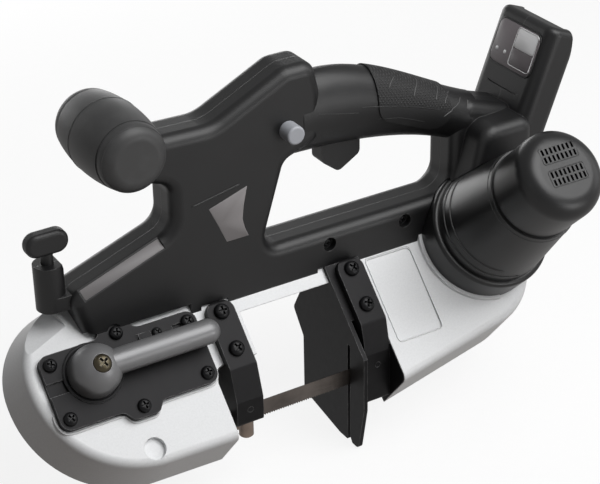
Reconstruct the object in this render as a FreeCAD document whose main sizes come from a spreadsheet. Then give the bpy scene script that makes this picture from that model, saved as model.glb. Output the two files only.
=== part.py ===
import FreeCAD, Part
import math
import os
import re
from types import SimpleNamespace
from FreeCAD import Placement, Rotation, Vector

# Portable band saw with a tilted deck, a closed rear handle and a cross grip in front.
# The saw's frame: x runs from the front grip to the motor, z points up in the handle's plane, and the
# work lies along y. The origin is on the work stop's face, in the cutting plane.
# The deck's frame shares x, is turned about it by deck_tilt and has the blade's lower run on its x axis.

os.makedirs("parts", exist_ok=True)

SIZES = {
    # Blade and its place
    "deck_tilt": 45,
    "origin_rise": 38,
    "blade_width": 12.7,
    "blade_thick": 0.5,
    "twist_steps": 4,
    # Wheels
    "wheel_span": 252,
    "drive_back": 94,
    "wheel_width": 14,
    "wheel_gap": 0.3,
    "tyre_thick": 3,
    "rim_thick": 4,
    "web_thick": 4,
    "hub_rad": 13,
    "hub_overhang": 1,
    "web_holes": 6,
    "web_hole_share": 0.22,
    "axle_rad": 5,
    "axle_end": 11,
    "axle_head_rad": 8,
    "axle_head": 2,
    "bearing_rad": 9.5,
    "run_gap": 0.05,
    # Ring gear in the drive wheel and its pinion
    "ring_teeth": 51,
    "ring_back": 4.75,
    "pinion_teeth": 9,
    "gear_width": 8,
    "pinion_length": 9,
    "addendum_share": 0.75,
    "dedendum_share": 1.05,
    "root_share": 0.56,
    "tip_share": 0.26,
    "pinion_shaft_rad": 4,
    "motor_high": 10,
    # Deck
    "deck_rise": 27,
    "rim_drop": 16,
    "top_wall": 6,
    "deck_draft": 6,
    "deck_fillet": 6,
    "deck_low": 19.5,
    "deck_depth": 129.5,
    "edge_wall": 5.45,
    "well_room": 4,
    "front_wall": 17,
    "rear_wall": 14,
    "front_low_share": 0.587,
    "front_top_share": 0.409,
    "rear_low_share": 0.417,
    "rear_top_share": 0.347,
    "channel_in": 6,
    "channel_out": 3.5,
    "channel_top": 3,
    "slant_start": 22,
    "slant_drop": 4,
    "slant_rise": 21,
    "boss_rad": 13,
    "boss_drop": 11,
    "panel_front": 32,
    "panel_low": 7,
    "panel_length": 37,
    "panel_width": 62,
    "panel_depth": 1,
    "panel_corner": 4,
    "notch_ahead": 160.7,
    "notch_low": 5,
    "notch_rad": 7.3,
    "notch_depth": 3.5,
    "scoop_ahead": 187,
    "scoop_high": 88.5,
    "scoop_turn": 21,
    "scoop_slope": 28,
    "lip_width": 2.5,
    "lip_rise": 3,
    "lip_sweep": 170,
    # Throat
    "roof_gap": 12,
    "throat_width": 70,
    "lower_front": 103.5,
    "lower_rear": 26,
    "step_rise": 32,
    "step_corner": 8,
    "rear_corner": 1,
    "blade_way": 10,
    "way_low": 5,
    # Blade tension
    "lever_ahead": 25,
    "lever_high": 2.5,
    "slide_end_gap": 7,
    "slide_behind": 22,
    "slide_width": 36,
    "slide_thick": 9,
    "slide_corner": 6,
    "seat_gap": 0.3,
    "cam_throw": 3,
    "cam_pin_rad": 2.8,
    "cam_rad": 6,
    "cam_slack": 0.9,
    "plate_thick": 5,
    "plate_ahead": 57,
    "plate_behind": 55,
    "plate_low": 28,
    "plate_high": 22.5,
    "plate_corner": 7,
    "plate_tab": 7,
    "plate_tab_half": 9,
    "plate_tab_corner": 5,
    "plate_way_depth": 2,
    "plate_way_half": 4.2,
    "plate_way_length": 16,
    "plate_slot_half": 2,
    "plate_slot_length": 6.5,
    "plate_slot_back": 18,
    "plate_slot_drop": 8.5,
    "plate_key_length": 9,
    "plate_key_width": 6.5,
    "plate_key_rise": 1.5,
    "plate_key_back": 34,
    "screw_inset": 7,
    "screw_head_rad": 4.6,
    "screw_head": 3.4,
    "screw_room": 1,
    "screw_shank_rad": 2,
    "lever_hub_rad": 17,
    "lever_hub_rise": 24,
    "lever_dome_low": 7,
    "lever_arm_rad": 8.5,
    "lever_arm_rise": 13,
    "lever_arm_length": 78,
    "lever_screw_rad": 6.2,
    "lever_screw_rise": 2.4,
    "lever_screw_sunk": 3,
    # Blade guides
    "guide_width": 20,
    "rear_guide_width": 20,
    "guide_inset": 5,
    "rear_guide_low": 18,
    "guide_shift": 2.5,
    "guide_top": 73,
    "guide_flange": 6,
    "guide_near": 12.5,
    "guide_far": 12.5,
    "guide_low": 0,
    "guide_corner": 3,
    "guide_foot_round": 8,
    "guide_slot": 1.2,
    "guide_slot_over": 2,
    "guide_screw_low": 38.5,
    "guide_screw_pitch": 26.5,
    "roller_rad": 5,
    "roller_length": 19,
    "roller_drop": 12.5,
    "roller_gap": 0.3,
    "roller_room": 0.5,
    "roller_pin_rad": 2,
    "roller_pin_grip": 2.4,
    "thrust_half": 3,
    "guide_screw_head_rad": 5.4,
    "guide_screw_head": 4,
    "guide_screw_rad": 2.5,
    # Work stop
    "stop_thick": 3,
    "stop_flange": 27,
    "stop_prong": 53,
    "stop_prong_near": 12,
    "stop_prong_tip": 4,
    "stop_slot": 1.5,
    "stop_wing": 60,
    "stop_wing_low": 44,
    "stop_wing_step": 2,
    "stop_wing_top": 73,
    "stop_wing_bend": 18,
    "stop_corner": 4,
    # Handle housing
    "handle_mid": 48,
    "body_half": 17,
    "body_fillet": 8,
    "base_front": 168,
    "nose_front": 187,
    "base_front_top": 68,
    "base_back_top": 95,
    "post_front": 112,
    "head_round_share": 0.3,
    "head_low_share": 0.348,
    "head_notch_share": 0.739,
    "head_front": 80,
    "head_front_share": 0.717,
    "head_peak": 26,
    "head_top": 187,
    "head_back": 4,
    "head_rear": 1,
    "head_rear_share": 0.761,
    "loop_front": 46,
    "loop_front_top": 27,
    "loop_low": 61,
    "loop_top_share": 0.283,
    "loop_rear": 107,
    "post_rear": 160,
    "post_top": 128,
    "rail_end": 118,
    "saddle_near": 10,
    "round_small": 9.5,
    "round_large": 14,
    "grip_half": 17.5,
    "grip_front": 14,
    "grip_front_lift": 3,
    "grip_front_half": 27,
    "grip_top_at": 34,
    "grip_top_mid": 143,
    "grip_top_half": 27,
    "grip_waist_at": 74,
    "grip_waist_drop": 11.5,
    "grip_waist_half": 22.5,
    "grip_rear": 130,
    "grip_rear_mid": 107,
    "grip_rear_half": 20,
    "inlay_thick": 1.2,
    "inlay_front": 44,
    "inlay_rear": 104,
    "inlay_drop": 9,
    "housing_screw_rad": 5,
    "housing_screw_depth": 5,
    "housing_screw_drop": 10.5,
    "housing_screw_front": 5,
    "housing_screw_pitch": 61.5,
    "strip_depth": 4.9,
    "strip_start": 8,
    "strip_length": 62,
    "facet_low": 77,
    "facet_high": 104,
    "facet_top": 113,
    "facet_front": 86,
    "facet_low_front": 74,
    "facet_back": 58,
    "facet_waist": 62,
    "facet_lean": 17,
    # Head for the battery
    "dock_tilt": 21,
    "dock_x": 155,
    "dock_z": 111,
    "dock_half": 31,
    "dock_thick": 28,
    "dock_up": 66,
    "dock_down": 48,
    "dock_top_thick": 18,
    "dock_slope": 26,
    "dock_corner": 9,
    "dock_fillet": 5,
    "rail_half": 24,
    "rail_depth": 13,
    "rail_groove": 4,
    "rail_groove_depth": 4,
    "rail_groove_at": 4,
    "dock_floor": 24,
    "terminal_half": 17,
    "terminal_length": 34,
    "terminal_thick": 6,
    "contact_thick": 1,
    "contact_rise": 6,
    "contact_length": 16,
    "contact_pitch": 9,
    "display_half": 19,
    "display_low": 12,
    "display_high": 56,
    "display_thick": 2,
    "display_sunk": 1,
    "display_corner": 5,
    # Cross grip
    "bulb_x": 141,
    "bulb_mid": 55.5,
    "bulb_share": 0.696,
    "bulb_rad": 26,
    "bulb_end_rad": 23.5,
    "bulb_half": 27.5,
    "bulb_cap": 11,
    "bulb_cap_rad": 9,
    "bulb_cap_step": 0.6,
    # Thumb knob
    "knob_x": 193.5,
    "knob_boss_rad": 9.8,
    "knob_boss_low": 58,
    "knob_boss_top": 90,
    "knob_stem_rad": 4,
    "knob_stem_low": 70,
    "knob_low": 97,
    "knob_rise": 16,
    "knob_half": 14.5,
    "knob_thick": 10,
    "knob_round": 3,
    # Trigger, switch and lock
    "trigger_front": 6,
    "trigger_back": 36,
    "trigger_tip": 19,
    "trigger_rise": 29,
    "trigger_heel_rise": 19,
    "trigger_seat": 16,
    "trigger_half": 6.5,
    "trigger_room": 0.5,
    "switch_length": 34,
    "switch_rise": 14,
    "switch_half": 8,
    "switch_lift": 9,
    "lock_x": 26,
    "lock_share": 0.543,
    "lock_rad": 6.5,
    "lock_out": 11,
    "lock_in": 15,
    "lock_travel": 4,
    "lock_round": 1.5,
    # Gear case and motor
    "case_rad": 45,
    "case_rise": 24,
    "case_round": 3,
    "case_floor": 4,
    "gearbox_rad": 22,
    "motor_foot_rad": 41,
    "motor_foot": 5,
    "motor_neck_rad": 33,
    "motor_length": 64,
    "motor_wall": 3.5,
    "cap_rad": 31.5,
    "cap_length": 44,
    "cap_round": 13,
    "cap_wall": 2.5,
    "cap_gap": 1.5,
    "vent_rows": 2,
    "vent_count": 8,
    "vent_pitch": 3.4,
    "vent_row_pitch": 5.5,
    "vent_length": 4,
    "vent_width": 1.6,
    "vent_offset": 8,
    "vent_lift": 4.5,
    "stator_bore": 14,
    "stator_length": 36,
    "stator_lift": 8,
    "rotor_rad": 13.5,
    "rotor_shaft_rad": 2.5,
    "fan_rad": 20,
    "fan_thick": 6,
    "motor_clear": 0.4,
    # Shared
    "overrun": 5,
}

doc = FreeCAD.newDocument("band_saw")
sheet = doc.addObject("Spreadsheet::Sheet", "Sizes")
for row, (alias, number) in enumerate(SIZES.items(), start=1):
    sheet.set(f"A{row}", alias)
    sheet.set(f"B{row}", str(number))
    sheet.setAlias(f"B{row}", alias)
doc.recompute()
size = SimpleNamespace(**{alias: float(sheet.get(alias)) for alias in SIZES})

# Places that follow from the sizes.
DECK = Placement(Vector(0, 0, -size.origin_rise), Rotation(Vector(1, 0, 0), size.deck_tilt))
blade_side = size.wheel_gap + size.blade_thick / 2
wheel_rad = (size.deck_depth - size.deck_low - size.edge_wall - size.well_room - blade_side) / 2
well_rad = wheel_rad + size.well_room
axis_v = wheel_rad + blade_side
inner_rim = wheel_rad - size.tyre_thick - size.rim_thick
gear_module = 2 * (inner_rim - size.ring_back) / size.ring_teeth
drive_u = size.drive_back
idler_u = size.drive_back - size.wheel_span
gear_gap = gear_module * (size.ring_teeth - size.pinion_teeth) / 2
motor_v = axis_v + size.motor_high
motor_u = drive_u + math.sqrt(gear_gap ** 2 - size.motor_high ** 2)
front_reach = well_rad + size.front_wall - idler_u
rear_reach = drive_u + well_rad + size.rear_wall
throat_roof = (2 * axis_v - size.roof_gap) * math.cos(math.radians(size.deck_tilt))
slide_ahead = math.sqrt(well_rad ** 2 - size.slide_width ** 2 / 4) - size.slide_end_gap
lever_u = idler_u - size.lever_ahead
lever_v = axis_v + size.lever_high
deck_under = size.deck_rise - size.top_wall
case_top = size.deck_rise + size.case_rise
motor_top = case_top + size.motor_length
cap_top = motor_top + size.cap_length
blade_back = -size.origin_rise + size.blade_width / 2
guide_start = -size.throat_width - size.guide_inset - size.guide_width
head_rise = size.head_top - size.base_back_top
head_low, head_notch, head_front_top, head_rear_top, loop_top, bulb_z, lock_z = (
    size.base_back_top + head_rise * share
    for share in (size.head_low_share, size.head_notch_share, size.head_front_share, size.head_rear_share,
                  size.loop_top_share, size.bulb_share, size.lock_share))
trigger_top = size.grip_top_mid - size.trigger_seat
trigger_heel = trigger_top - size.trigger_heel_rise
trigger_low = trigger_top - size.trigger_rise
CLOSE = 1e-4
nodes = []


def bound(text):
    """A formula of size names, as the sheet's own expression."""
    return re.sub(r"[a-z_]+", lambda word: "Sizes." + word.group(0), text)


def node(thing, label, place=None):
    """Keep a finished sub-part under its own label, moved from its own frame to the saw's."""
    thing.Label = label
    if place is not None:
        thing.Placement = place
    nodes.append(thing)
    return thing


def deck_at(u, v, w=0):
    """The deck's frame moved to a point of it."""
    return DECK.multiply(Placement(Vector(u, v, w), Rotation()))


def deck_point(v, w):
    """The y and z of a point given across and above the deck."""
    point = DECK.multVec(Vector(0, v, w))
    return point.y, point.z


def rounded(corners):
    """Lines and arcs of a closed outline, from corners given as (x, y, radius)."""
    arcs = []
    for index, (x, y, radius) in enumerate(corners):
        here = Vector(x, y, 0)
        to_last = (Vector(*corners[index - 1][:2], 0) - here).normalize()
        to_next = (Vector(*corners[(index + 1) % len(corners)][:2], 0) - here).normalize()
        half = to_last.getAngle(to_next) / 2
        reach = radius / math.tan(half)
        middle = here + (to_last + to_next).normalize() * (radius / math.sin(half) - radius)
        arcs.append((here + to_last * reach, middle, here + to_next * reach, radius))
    edges = []
    for index, (start, middle, end, radius) in enumerate(arcs):
        if radius:
            edges.append(Part.Arc(start, middle, end))
        following = arcs[(index + 1) % len(arcs)][0]
        if not end.isEqual(following, CLOSE):
            edges.append(Part.LineSegment(end, following))
    return edges


def rectangle(x0, y0, x1, y1, radius=0):
    return rounded([(x0, y0, radius), (x1, y0, radius), (x1, y1, radius), (x0, y1, radius)])


def circle(x, y, radius):
    return Part.Circle(Vector(x, y, 0), Vector(0, 0, 1), radius)


def new_body(name):
    return doc.addObject("PartDesign::Body", name)


def draw(body, name, role, offset, edges):
    """A sketch on one of the body's origin planes, moved along the plane's normal."""
    sketch = body.newObject("Sketcher::SketchObject", name)
    plane = [feature for feature in body.Origin.OriginFeatures if feature.Role == role][0]
    sketch.AttachmentSupport = [(plane, "")]
    sketch.MapMode = "FlatFace"
    sketch.AttachmentOffset = Placement(Vector(0, 0, offset), Rotation())
    sketch.addGeometry(edges, False)
    return sketch


def pad(body, name, sketch, length, taper=None):
    feature = body.newObject("PartDesign::Pad", name)
    feature.Profile = sketch
    feature.setExpression("Length", bound(length))
    if taper:
        feature.setExpression("TaperAngle", bound(taper))
    doc.recompute()
    return feature


def pocket(body, name, sketch, length, along=True):
    """A pocket along the sketch's normal, or against it, that has to remove material."""
    before = body.Shape.Volume
    feature = body.newObject("PartDesign::Pocket", name)
    feature.Profile = sketch
    feature.setExpression("Length", bound(length))
    feature.Reversed = along
    doc.recompute()
    if feature.Shape.Volume >= before:
        raise RuntimeError(f"{name} cuts nothing")
    return feature


def revolve(body, name, sketch):
    """A full turn of a sketch about its own vertical axis."""
    feature = body.newObject("PartDesign::Revolution", name)
    feature.Profile = sketch
    feature.ReferenceAxis = (sketch, ["V_Axis"])
    feature.Angle = 360
    doc.recompute()
    return feature


def fillet(body, name, radius, test):
    """Round the edges of the body's last feature that pass the test."""
    base = body.Tip
    names = [f"Edge{place}" for place, edge in enumerate(base.Shape.Edges, start=1) if test(edge)]
    feature = body.newObject("PartDesign::Fillet", name)
    feature.Base = (base, names)
    feature.setExpression("Radius", bound(radius))
    doc.recompute()
    return feature


def flat_in(edge, axis, value):
    """Whether an edge lies in the plane where one coordinate has a value."""
    ends = [vertex.Point for vertex in edge.Vertexes] + [edge.valueAt(edge.FirstParameter)]
    return all(abs(getattr(point, axis) - value) < CLOSE for point in ends)


def cylinder(name, radius, height, place):
    thing = doc.addObject("Part::Cylinder", name)
    thing.setExpression("Radius", bound(radius))
    thing.setExpression("Height", bound(height))
    thing.Placement = place
    return thing


def fuse(name, things):
    thing = doc.addObject("Part::MultiFuse", name)
    thing.Shapes = things
    thing.Refine = True
    return thing


def cut(name, base, tools):
    thing = doc.addObject("Part::Cut", name)
    thing.Base = base
    thing.Tool = tools[0] if len(tools) == 1 else fuse(name + "_tools", tools)
    thing.Refine = True
    return thing


def group(name, things):
    thing = doc.addObject("Part::Compound", name)
    thing.Links = things
    return thing


def slab(name, corner, along, up, reach):
    """A cutting cube at a corner, turned so that its first edge and its top face the given ways."""
    thing = doc.addObject("Part::Box", name)
    thing.Length = thing.Width = thing.Height = reach
    thing.Placement = Placement(corner, Rotation(along, Vector(), up, "ZXY"))
    return thing


def along_y(x, y, z):
    """A cylinder's place when its axis runs along +y."""
    return Placement(Vector(x, y, z), Rotation(Vector(1, 0, 0), -90))


# Deck casting

def deck_screw_places():
    """Where the tension plate's screws stand on the deck."""
    front = idler_u - size.plate_ahead + size.screw_inset
    back = idler_u + size.plate_behind - size.screw_inset
    low = axis_v - size.plate_low + size.screw_inset
    high = axis_v + size.plate_high - size.screw_inset
    middle = (front + back) / 2
    return [(front, low), (back, low), (front, high), (back, high),
            (middle, low - size.plate_tab), (middle, high + size.plate_tab)]


def guide_screw_places():
    """The two guides' screws, front pair first."""
    front = guide_start + size.guide_width / 2
    rear = size.stop_thick + size.guide_shift + size.rear_guide_width / 2
    low = size.guide_screw_low
    return [(u, v) for u in (front, rear) for v in (low, low + size.guide_screw_pitch)]


def build_frame():
    body = new_body("FrameCasting")
    low = -size.deck_low
    high = size.deck_depth - size.deck_low
    outline = rounded([
        (-front_reach, low, size.deck_depth * size.front_low_share),
        (size.slant_start, low - size.slant_drop, 0),
        (rear_reach, low + size.slant_rise, size.deck_depth * size.rear_low_share),
        (rear_reach, high, size.deck_depth * size.rear_top_share),
        (-front_reach, high, size.deck_depth * size.front_top_share)])
    pad(body, "Block", draw(body, "Rim", "XY_Plane", -size.rim_drop, outline), "rim_drop + deck_rise",
        "-deck_draft")
    fillet(body, "Shoulder", "deck_fillet", lambda edge: flat_in(edge, "z", size.deck_rise))

    # The throat's roof is square to the handle's plane, so it slopes across the deck.
    roof = throat_roof / math.cos(math.radians(size.deck_tilt))
    over = size.overrun + size.deck_rise
    under = -size.overrun - size.rim_drop
    throat = rounded([(roof - over, over, 0), (roof - under, under, 0),
                      (low - size.overrun, under, 0), (low - size.overrun, over, 0)])
    pocket(body, "Throat", draw(body, "ThroatSection", "YZ_Plane", -size.throat_width, throat),
           "throat_width + stop_thick")
    mouth = rounded([(-size.lower_front, low - size.overrun, 0), (size.lower_rear, low - size.overrun, 0),
                     (size.lower_rear, size.step_rise, size.rear_corner),
                     (-size.lower_front, size.step_rise, size.step_corner)])
    pocket(body, "Mouth", draw(body, "MouthOutline", "XY_Plane", under, mouth),
           "rim_drop + deck_rise + overrun + overrun")

    wells = [circle(drive_u, axis_v, well_rad), circle(idler_u, axis_v, well_rad)]
    pocket(body, "Wells", draw(body, "WellCircles", "XY_Plane", -size.rim_drop, wells),
           "rim_drop + deck_rise - top_wall")
    travel = [circle(idler_u + 2 * size.cam_throw, axis_v, well_rad)]
    pocket(body, "TravelRoom", draw(body, "TravelCircle", "XY_Plane", -size.rim_drop, travel),
           "rim_drop + deck_rise - top_wall")
    upper = 2 * axis_v
    channel = rectangle(idler_u, upper - size.channel_in, drive_u, upper + size.channel_out)
    pocket(body, "Channel", draw(body, "ChannelOutline", "XY_Plane", -size.rim_drop, channel),
           "rim_drop + blade_width / 2 + channel_top")
    ways = rectangle(idler_u, -size.blade_way, -size.lower_front + size.overrun, size.blade_way)
    ways += rectangle(size.lower_rear - size.overrun, -size.way_low, drive_u, size.blade_way)
    pocket(body, "BladeWays", draw(body, "BladeWayOutlines", "XY_Plane", -size.rim_drop, ways),
           "rim_drop + blade_way")
    panel = rectangle(size.panel_front, size.panel_low, size.panel_front + size.panel_length,
                      size.panel_low + size.panel_width, size.panel_corner)
    pocket(body, "Panel", draw(body, "PanelOutline", "XY_Plane", size.deck_rise, panel), "panel_depth",
           False)

    notch = [circle(-size.notch_ahead, -size.notch_low, size.notch_rad)]
    pocket(body, "EdgeNotch", draw(body, "NotchCircle", "XY_Plane", size.deck_rise, notch), "notch_depth",
           False)

    holes = [circle(u, v, size.screw_shank_rad) for u, v in deck_screw_places()]
    holes += [circle(u, v, size.guide_screw_rad) for u, v in guide_screw_places()]
    holes.append(circle(lever_u, lever_v, size.cam_rad + size.run_gap))
    holes.append(circle(motor_u, motor_v, size.axle_head_rad))
    pocket(body, "Holes", draw(body, "HoleCircles", "XY_Plane", size.deck_rise, holes),
           "top_wall + overrun", False)

    boss = cylinder("AxleBoss", "boss_rad", "boss_drop + top_wall / 2",
                    Placement(Vector(drive_u, axis_v, deck_under - size.boss_drop), Rotation()))
    bore = cylinder("AxleBore", "axle_rad", "boss_drop + top_wall / 2",
                    Placement(Vector(drive_u, axis_v, deck_under - size.boss_drop), Rotation()))
    turn = Rotation(Vector(0, 0, 1), 180 - size.lip_sweep / 2)
    ring = cylinder("LipOuter", "case_rad + lip_width", "lip_rise",
                    Placement(Vector(motor_u, motor_v, size.deck_rise), turn))
    ring.setExpression("Angle", bound("lip_sweep"))
    eye = cylinder("LipInner", "case_rad", "lip_rise",
                   Placement(Vector(motor_u, motor_v, size.deck_rise), Rotation()))
    lip = cut("CaseLip", ring, [eye])
    whole = fuse("FrameSolid", [body, boss, lip])
    node(cut("Frame", whole, [bore, front_scoop()]), "frame", DECK)


def front_scoop():
    """The sloping facet at the front, where the deck falls away beside the handle's foot."""
    turn = math.radians(size.scoop_turn)
    slope = math.radians(size.scoop_slope)
    along = Vector(math.cos(turn), math.sin(turn), 0)
    outward = Vector(-math.sin(turn), math.cos(turn), 0)
    up = outward * math.sin(slope) + Vector(0, 0, math.cos(slope))
    end = Vector(-size.scoop_ahead, size.scoop_high, size.deck_rise)
    return slab("FrontScoop", end - along * size.deck_depth, along, up, size.deck_depth)


# Wheels, tyres and the gear pair

def build_wheel(name, at_u):
    """A spoked wheel with its tyre and bearing, on the deck at one axis."""
    half = size.wheel_width / 2
    hub = half + size.hub_overhang
    rim = wheel_rad - size.tyre_thick
    body = new_body(name.title() + "Wheel")
    profile = rounded([(size.bearing_rad, -hub, 0), (size.hub_rad, -hub, 0), (size.hub_rad, -half, 0),
                       (rim, -half, 0), (rim, half, 0), (inner_rim, half, 0),
                       (inner_rim, -half + size.web_thick, 0), (size.hub_rad, -half + size.web_thick, 0),
                       (size.hub_rad, hub, 0), (size.bearing_rad, hub, 0)])
    revolve(body, "Turned", draw(body, "Profile", "XZ_Plane", 0, profile))
    count = int(size.web_holes)
    turns = [2 * math.pi * index / count for index in range(count)]
    ring = (size.hub_rad + inner_rim) / 2
    hole = size.web_hole_share * (inner_rim - size.hub_rad)
    holes = [circle(ring * math.cos(turn), ring * math.sin(turn), hole) for turn in turns]
    pocket(body, "WebHoles", draw(body, "WebHoleCircles", "XY_Plane", -half, holes), "web_thick")
    node(body, name + "_wheel", deck_at(at_u, axis_v))

    tyre = new_body(name.title() + "Tyre")
    crown = size.tyre_thick / 4
    section = rounded([(rim, -half, 0), (wheel_rad - crown, -half, 0), (wheel_rad, 0, 0),
                       (wheel_rad - crown, half, 0), (rim, half, 0)])
    revolve(tyre, "Tread", draw(tyre, "Section", "XZ_Plane", 0, section))
    node(tyre, name + "_tyre", deck_at(at_u, axis_v))

    bearing = new_body(name.title() + "Bearing")
    ring = rectangle(size.axle_rad + size.run_gap, -hub, size.bearing_rad, hub)
    revolve(bearing, "Ring", draw(bearing, "Section", "XZ_Plane", 0, ring))
    node(bearing, name + "_bearing", deck_at(at_u, axis_v))


def build_axle(name, at_u, top):
    """A headed stub axle, from its seat above the wheel to the washer below it."""
    low = -size.axle_end
    head = low + size.axle_head
    body = new_body(name.title() + "Axle")
    profile = rounded([(0, low, 0), (size.axle_head_rad, low, 0), (size.axle_head_rad, head, 0),
                       (size.axle_rad, head, 0), (size.axle_rad, top, 0), (0, top, 0)])
    revolve(body, "Turned", draw(body, "Profile", "XZ_Plane", 0, profile))
    node(body, name + "_axle", deck_at(at_u, axis_v))


def gear_outline(teeth, inside, phase):
    """Straight-sided teeth round a circle, as a closed wire; inside turns them towards the centre."""
    pitch_rad = gear_module * teeth / 2
    sign = -1 if inside else 1
    tip = pitch_rad + sign * size.addendum_share * gear_module
    root = pitch_rad - sign * size.dedendum_share * gear_module
    step = 2 * math.pi / teeth
    points = []
    for index in range(int(teeth)):
        middle = phase + index * step
        for radius, share in ((root, -size.root_share), (tip, -size.tip_share),
                              (tip, size.tip_share), (root, size.root_share)):
            angle = middle + step * share / 2
            points.append(Vector(radius * math.cos(angle), radius * math.sin(angle), 0))
    return Part.makePolygon(points + points[:1])


def build_gears():
    lead = math.atan2(motor_v - axis_v, motor_u - drive_u)
    teeth = gear_outline(size.ring_teeth, True, lead + math.pi / size.ring_teeth)
    rim = Part.Wire(Part.makeCircle(inner_rim))
    ring = doc.addObject("Part::Feature", "RingGear")
    blank = Part.Face(rim).extrude(Vector(0, 0, size.gear_width))
    ring.Shape = blank.cut(Part.Face(teeth).extrude(Vector(0, 0, size.gear_width)))
    node(ring, "drive_ring_gear", deck_at(drive_u, axis_v, -size.wheel_width / 2 + size.web_thick))

    pinion = doc.addObject("Part::Feature", "PinionTeeth")
    face = Part.Face(gear_outline(size.pinion_teeth, False, lead))
    pinion.Shape = face.extrude(Vector(0, 0, size.pinion_length))
    low = -size.wheel_width / 2 + size.web_thick + size.seat_gap
    pinion.Placement = Placement(Vector(0, 0, low), Rotation())
    reach = "deck_rise + case_rise / 2 + wheel_width / 2 - web_thick - seat_gap - pinion_length"
    shaft = cylinder("PinionShaft", "pinion_shaft_rad", reach,
                     Placement(Vector(0, 0, low + size.pinion_length), Rotation()))
    node(fuse("Pinion", [pinion, shaft]), "output_pinion", deck_at(motor_u, motor_v))


def build_blade():
    """The endless blade: two half turns, a straight upper run, and a lower run twisted between the guides."""
    half_w = size.blade_width / 2
    half_t = size.blade_thick / 2
    upper = 2 * axis_v
    turn_out = math.radians(size.deck_tilt)

    def section(u, v, turn):
        along = Vector(0, math.sin(turn), math.cos(turn)) * half_w
        across = Vector(0, math.cos(turn), -math.sin(turn)) * half_t
        middle = Vector(u, v, 0)
        corners = [middle + along + across, middle + along - across,
                   middle - along - across, middle - along + across]
        return Part.makePolygon(corners + corners[:1])

    def run(stations):
        return Part.makeLoft([section(*station) for station in stations], True, True)

    def twist(start, end, from_turn, to_turn):
        steps = int(size.twist_steps)
        shares = [index / steps for index in range(steps + 1)]
        return run([(start + (end - start) * share, 0, from_turn + (to_turn - from_turn) * share)
                    for share in shares])

    front = guide_start
    rear = size.stop_thick + size.guide_shift + size.rear_guide_width
    pieces = [twist(idler_u, front, 0, turn_out), run([(front, 0, turn_out), (rear, 0, turn_out)]),
              twist(rear, drive_u, turn_out, 0), run([(idler_u, upper, 0), (drive_u, upper, 0)])]
    for u, angle in ((idler_u, -180), (drive_u, 180)):
        face = Part.Face(section(u, 0, 0))
        pieces.append(face.revolve(Vector(u, axis_v, 0), Vector(0, 0, 1), angle))
    blade = doc.addObject("Part::Feature", "Blade")
    blade.Shape = pieces[0].multiFuse(pieces[1:]).removeSplitter().Solids[0]
    node(blade, "blade", DECK)


# Blade tension

def build_tension():
    slide_top = deck_under - size.seat_gap
    body = new_body("TensionSlide")
    outline = rectangle(idler_u - slide_ahead, axis_v - size.slide_width / 2, idler_u + size.slide_behind,
                        axis_v + size.slide_width / 2, size.slide_corner)
    pad(body, "Block", draw(body, "Outline", "XY_Plane", slide_top - size.slide_thick, outline),
        "slide_thick")
    pin_u = lever_u - size.cam_throw
    slot_u = size.cam_pin_rad + size.cam_slack
    slot_v = size.cam_throw + size.cam_pin_rad + size.cam_slack
    cuts = rectangle(pin_u - slot_u, lever_v - slot_v, pin_u + slot_u, lever_v + slot_v)
    cuts.append(circle(idler_u, axis_v, size.axle_rad))
    pocket(body, "Slot", draw(body, "SlotOutline", "XY_Plane", slide_top, cuts), "slide_thick", False)
    node(body, "tension_slide", DECK)
    build_axle("idler", idler_u, slide_top)

    plate = new_body("TensionPlate")
    front = idler_u - size.plate_ahead
    back = idler_u + size.plate_behind
    low = axis_v - size.plate_low
    high = axis_v + size.plate_high
    middle = (front + back) / 2
    half = size.plate_tab_half
    tab = size.plate_tab_corner
    corner = size.plate_corner
    outline = rounded([
        (front, low, corner), (middle - half - tab, low, tab), (middle - half, low - size.plate_tab, tab),
        (middle + half, low - size.plate_tab, tab), (middle + half + tab, low, tab), (back, low, corner),
        (back, high, corner), (middle + half + tab, high, tab), (middle + half, high + size.plate_tab, tab),
        (middle - half, high + size.plate_tab, tab), (middle - half - tab, high, tab),
        (front, high, corner)])
    pad(plate, "Sheet", draw(plate, "Outline", "XY_Plane", size.deck_rise, outline), "plate_thick")
    holes = [circle(u, v, size.screw_shank_rad) for u, v in deck_screw_places()]
    holes.append(circle(lever_u, lever_v, size.cam_rad + size.run_gap))
    pocket(plate, "Holes", draw(plate, "HoleCircles", "XY_Plane", size.deck_rise + size.plate_thick, holes),
           "plate_thick", False)
    sheet_top = size.deck_rise + size.plate_thick
    slot_v = high - size.plate_slot_drop
    ways = rectangle(front - size.overrun, axis_v - size.plate_way_half, front + size.plate_way_length,
                     axis_v + size.plate_way_half)
    for slot_u in (back - size.plate_slot_back, lever_u - size.plate_slot_length):
        ways += rectangle(slot_u, slot_v - size.plate_slot_half, slot_u + size.plate_slot_length,
                          slot_v + size.plate_slot_half)
    pocket(plate, "Ways", draw(plate, "WayOutlines", "XY_Plane", sheet_top, ways), "plate_way_depth", False)
    key_u = back - size.plate_key_back
    key = rectangle(key_u - size.plate_key_length, slot_v - size.plate_key_width / 2, key_u,
                    slot_v + size.plate_key_width / 2)
    pad(plate, "Key", draw(plate, "KeyOutline", "XY_Plane", sheet_top, key), "plate_key_rise")
    node(plate, "tension_plate", DECK)

    top = size.deck_rise + size.plate_thick
    screws = [build_screw(f"PlateScrew{index}", Vector(u, v, top), "screw_head_rad", "screw_head",
                          "screw_shank_rad", "plate_thick + top_wall")
              for index, (u, v) in enumerate(deck_screw_places())]
    node(group("PlateScrews", screws), "tension_plate_screws", DECK)


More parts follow.
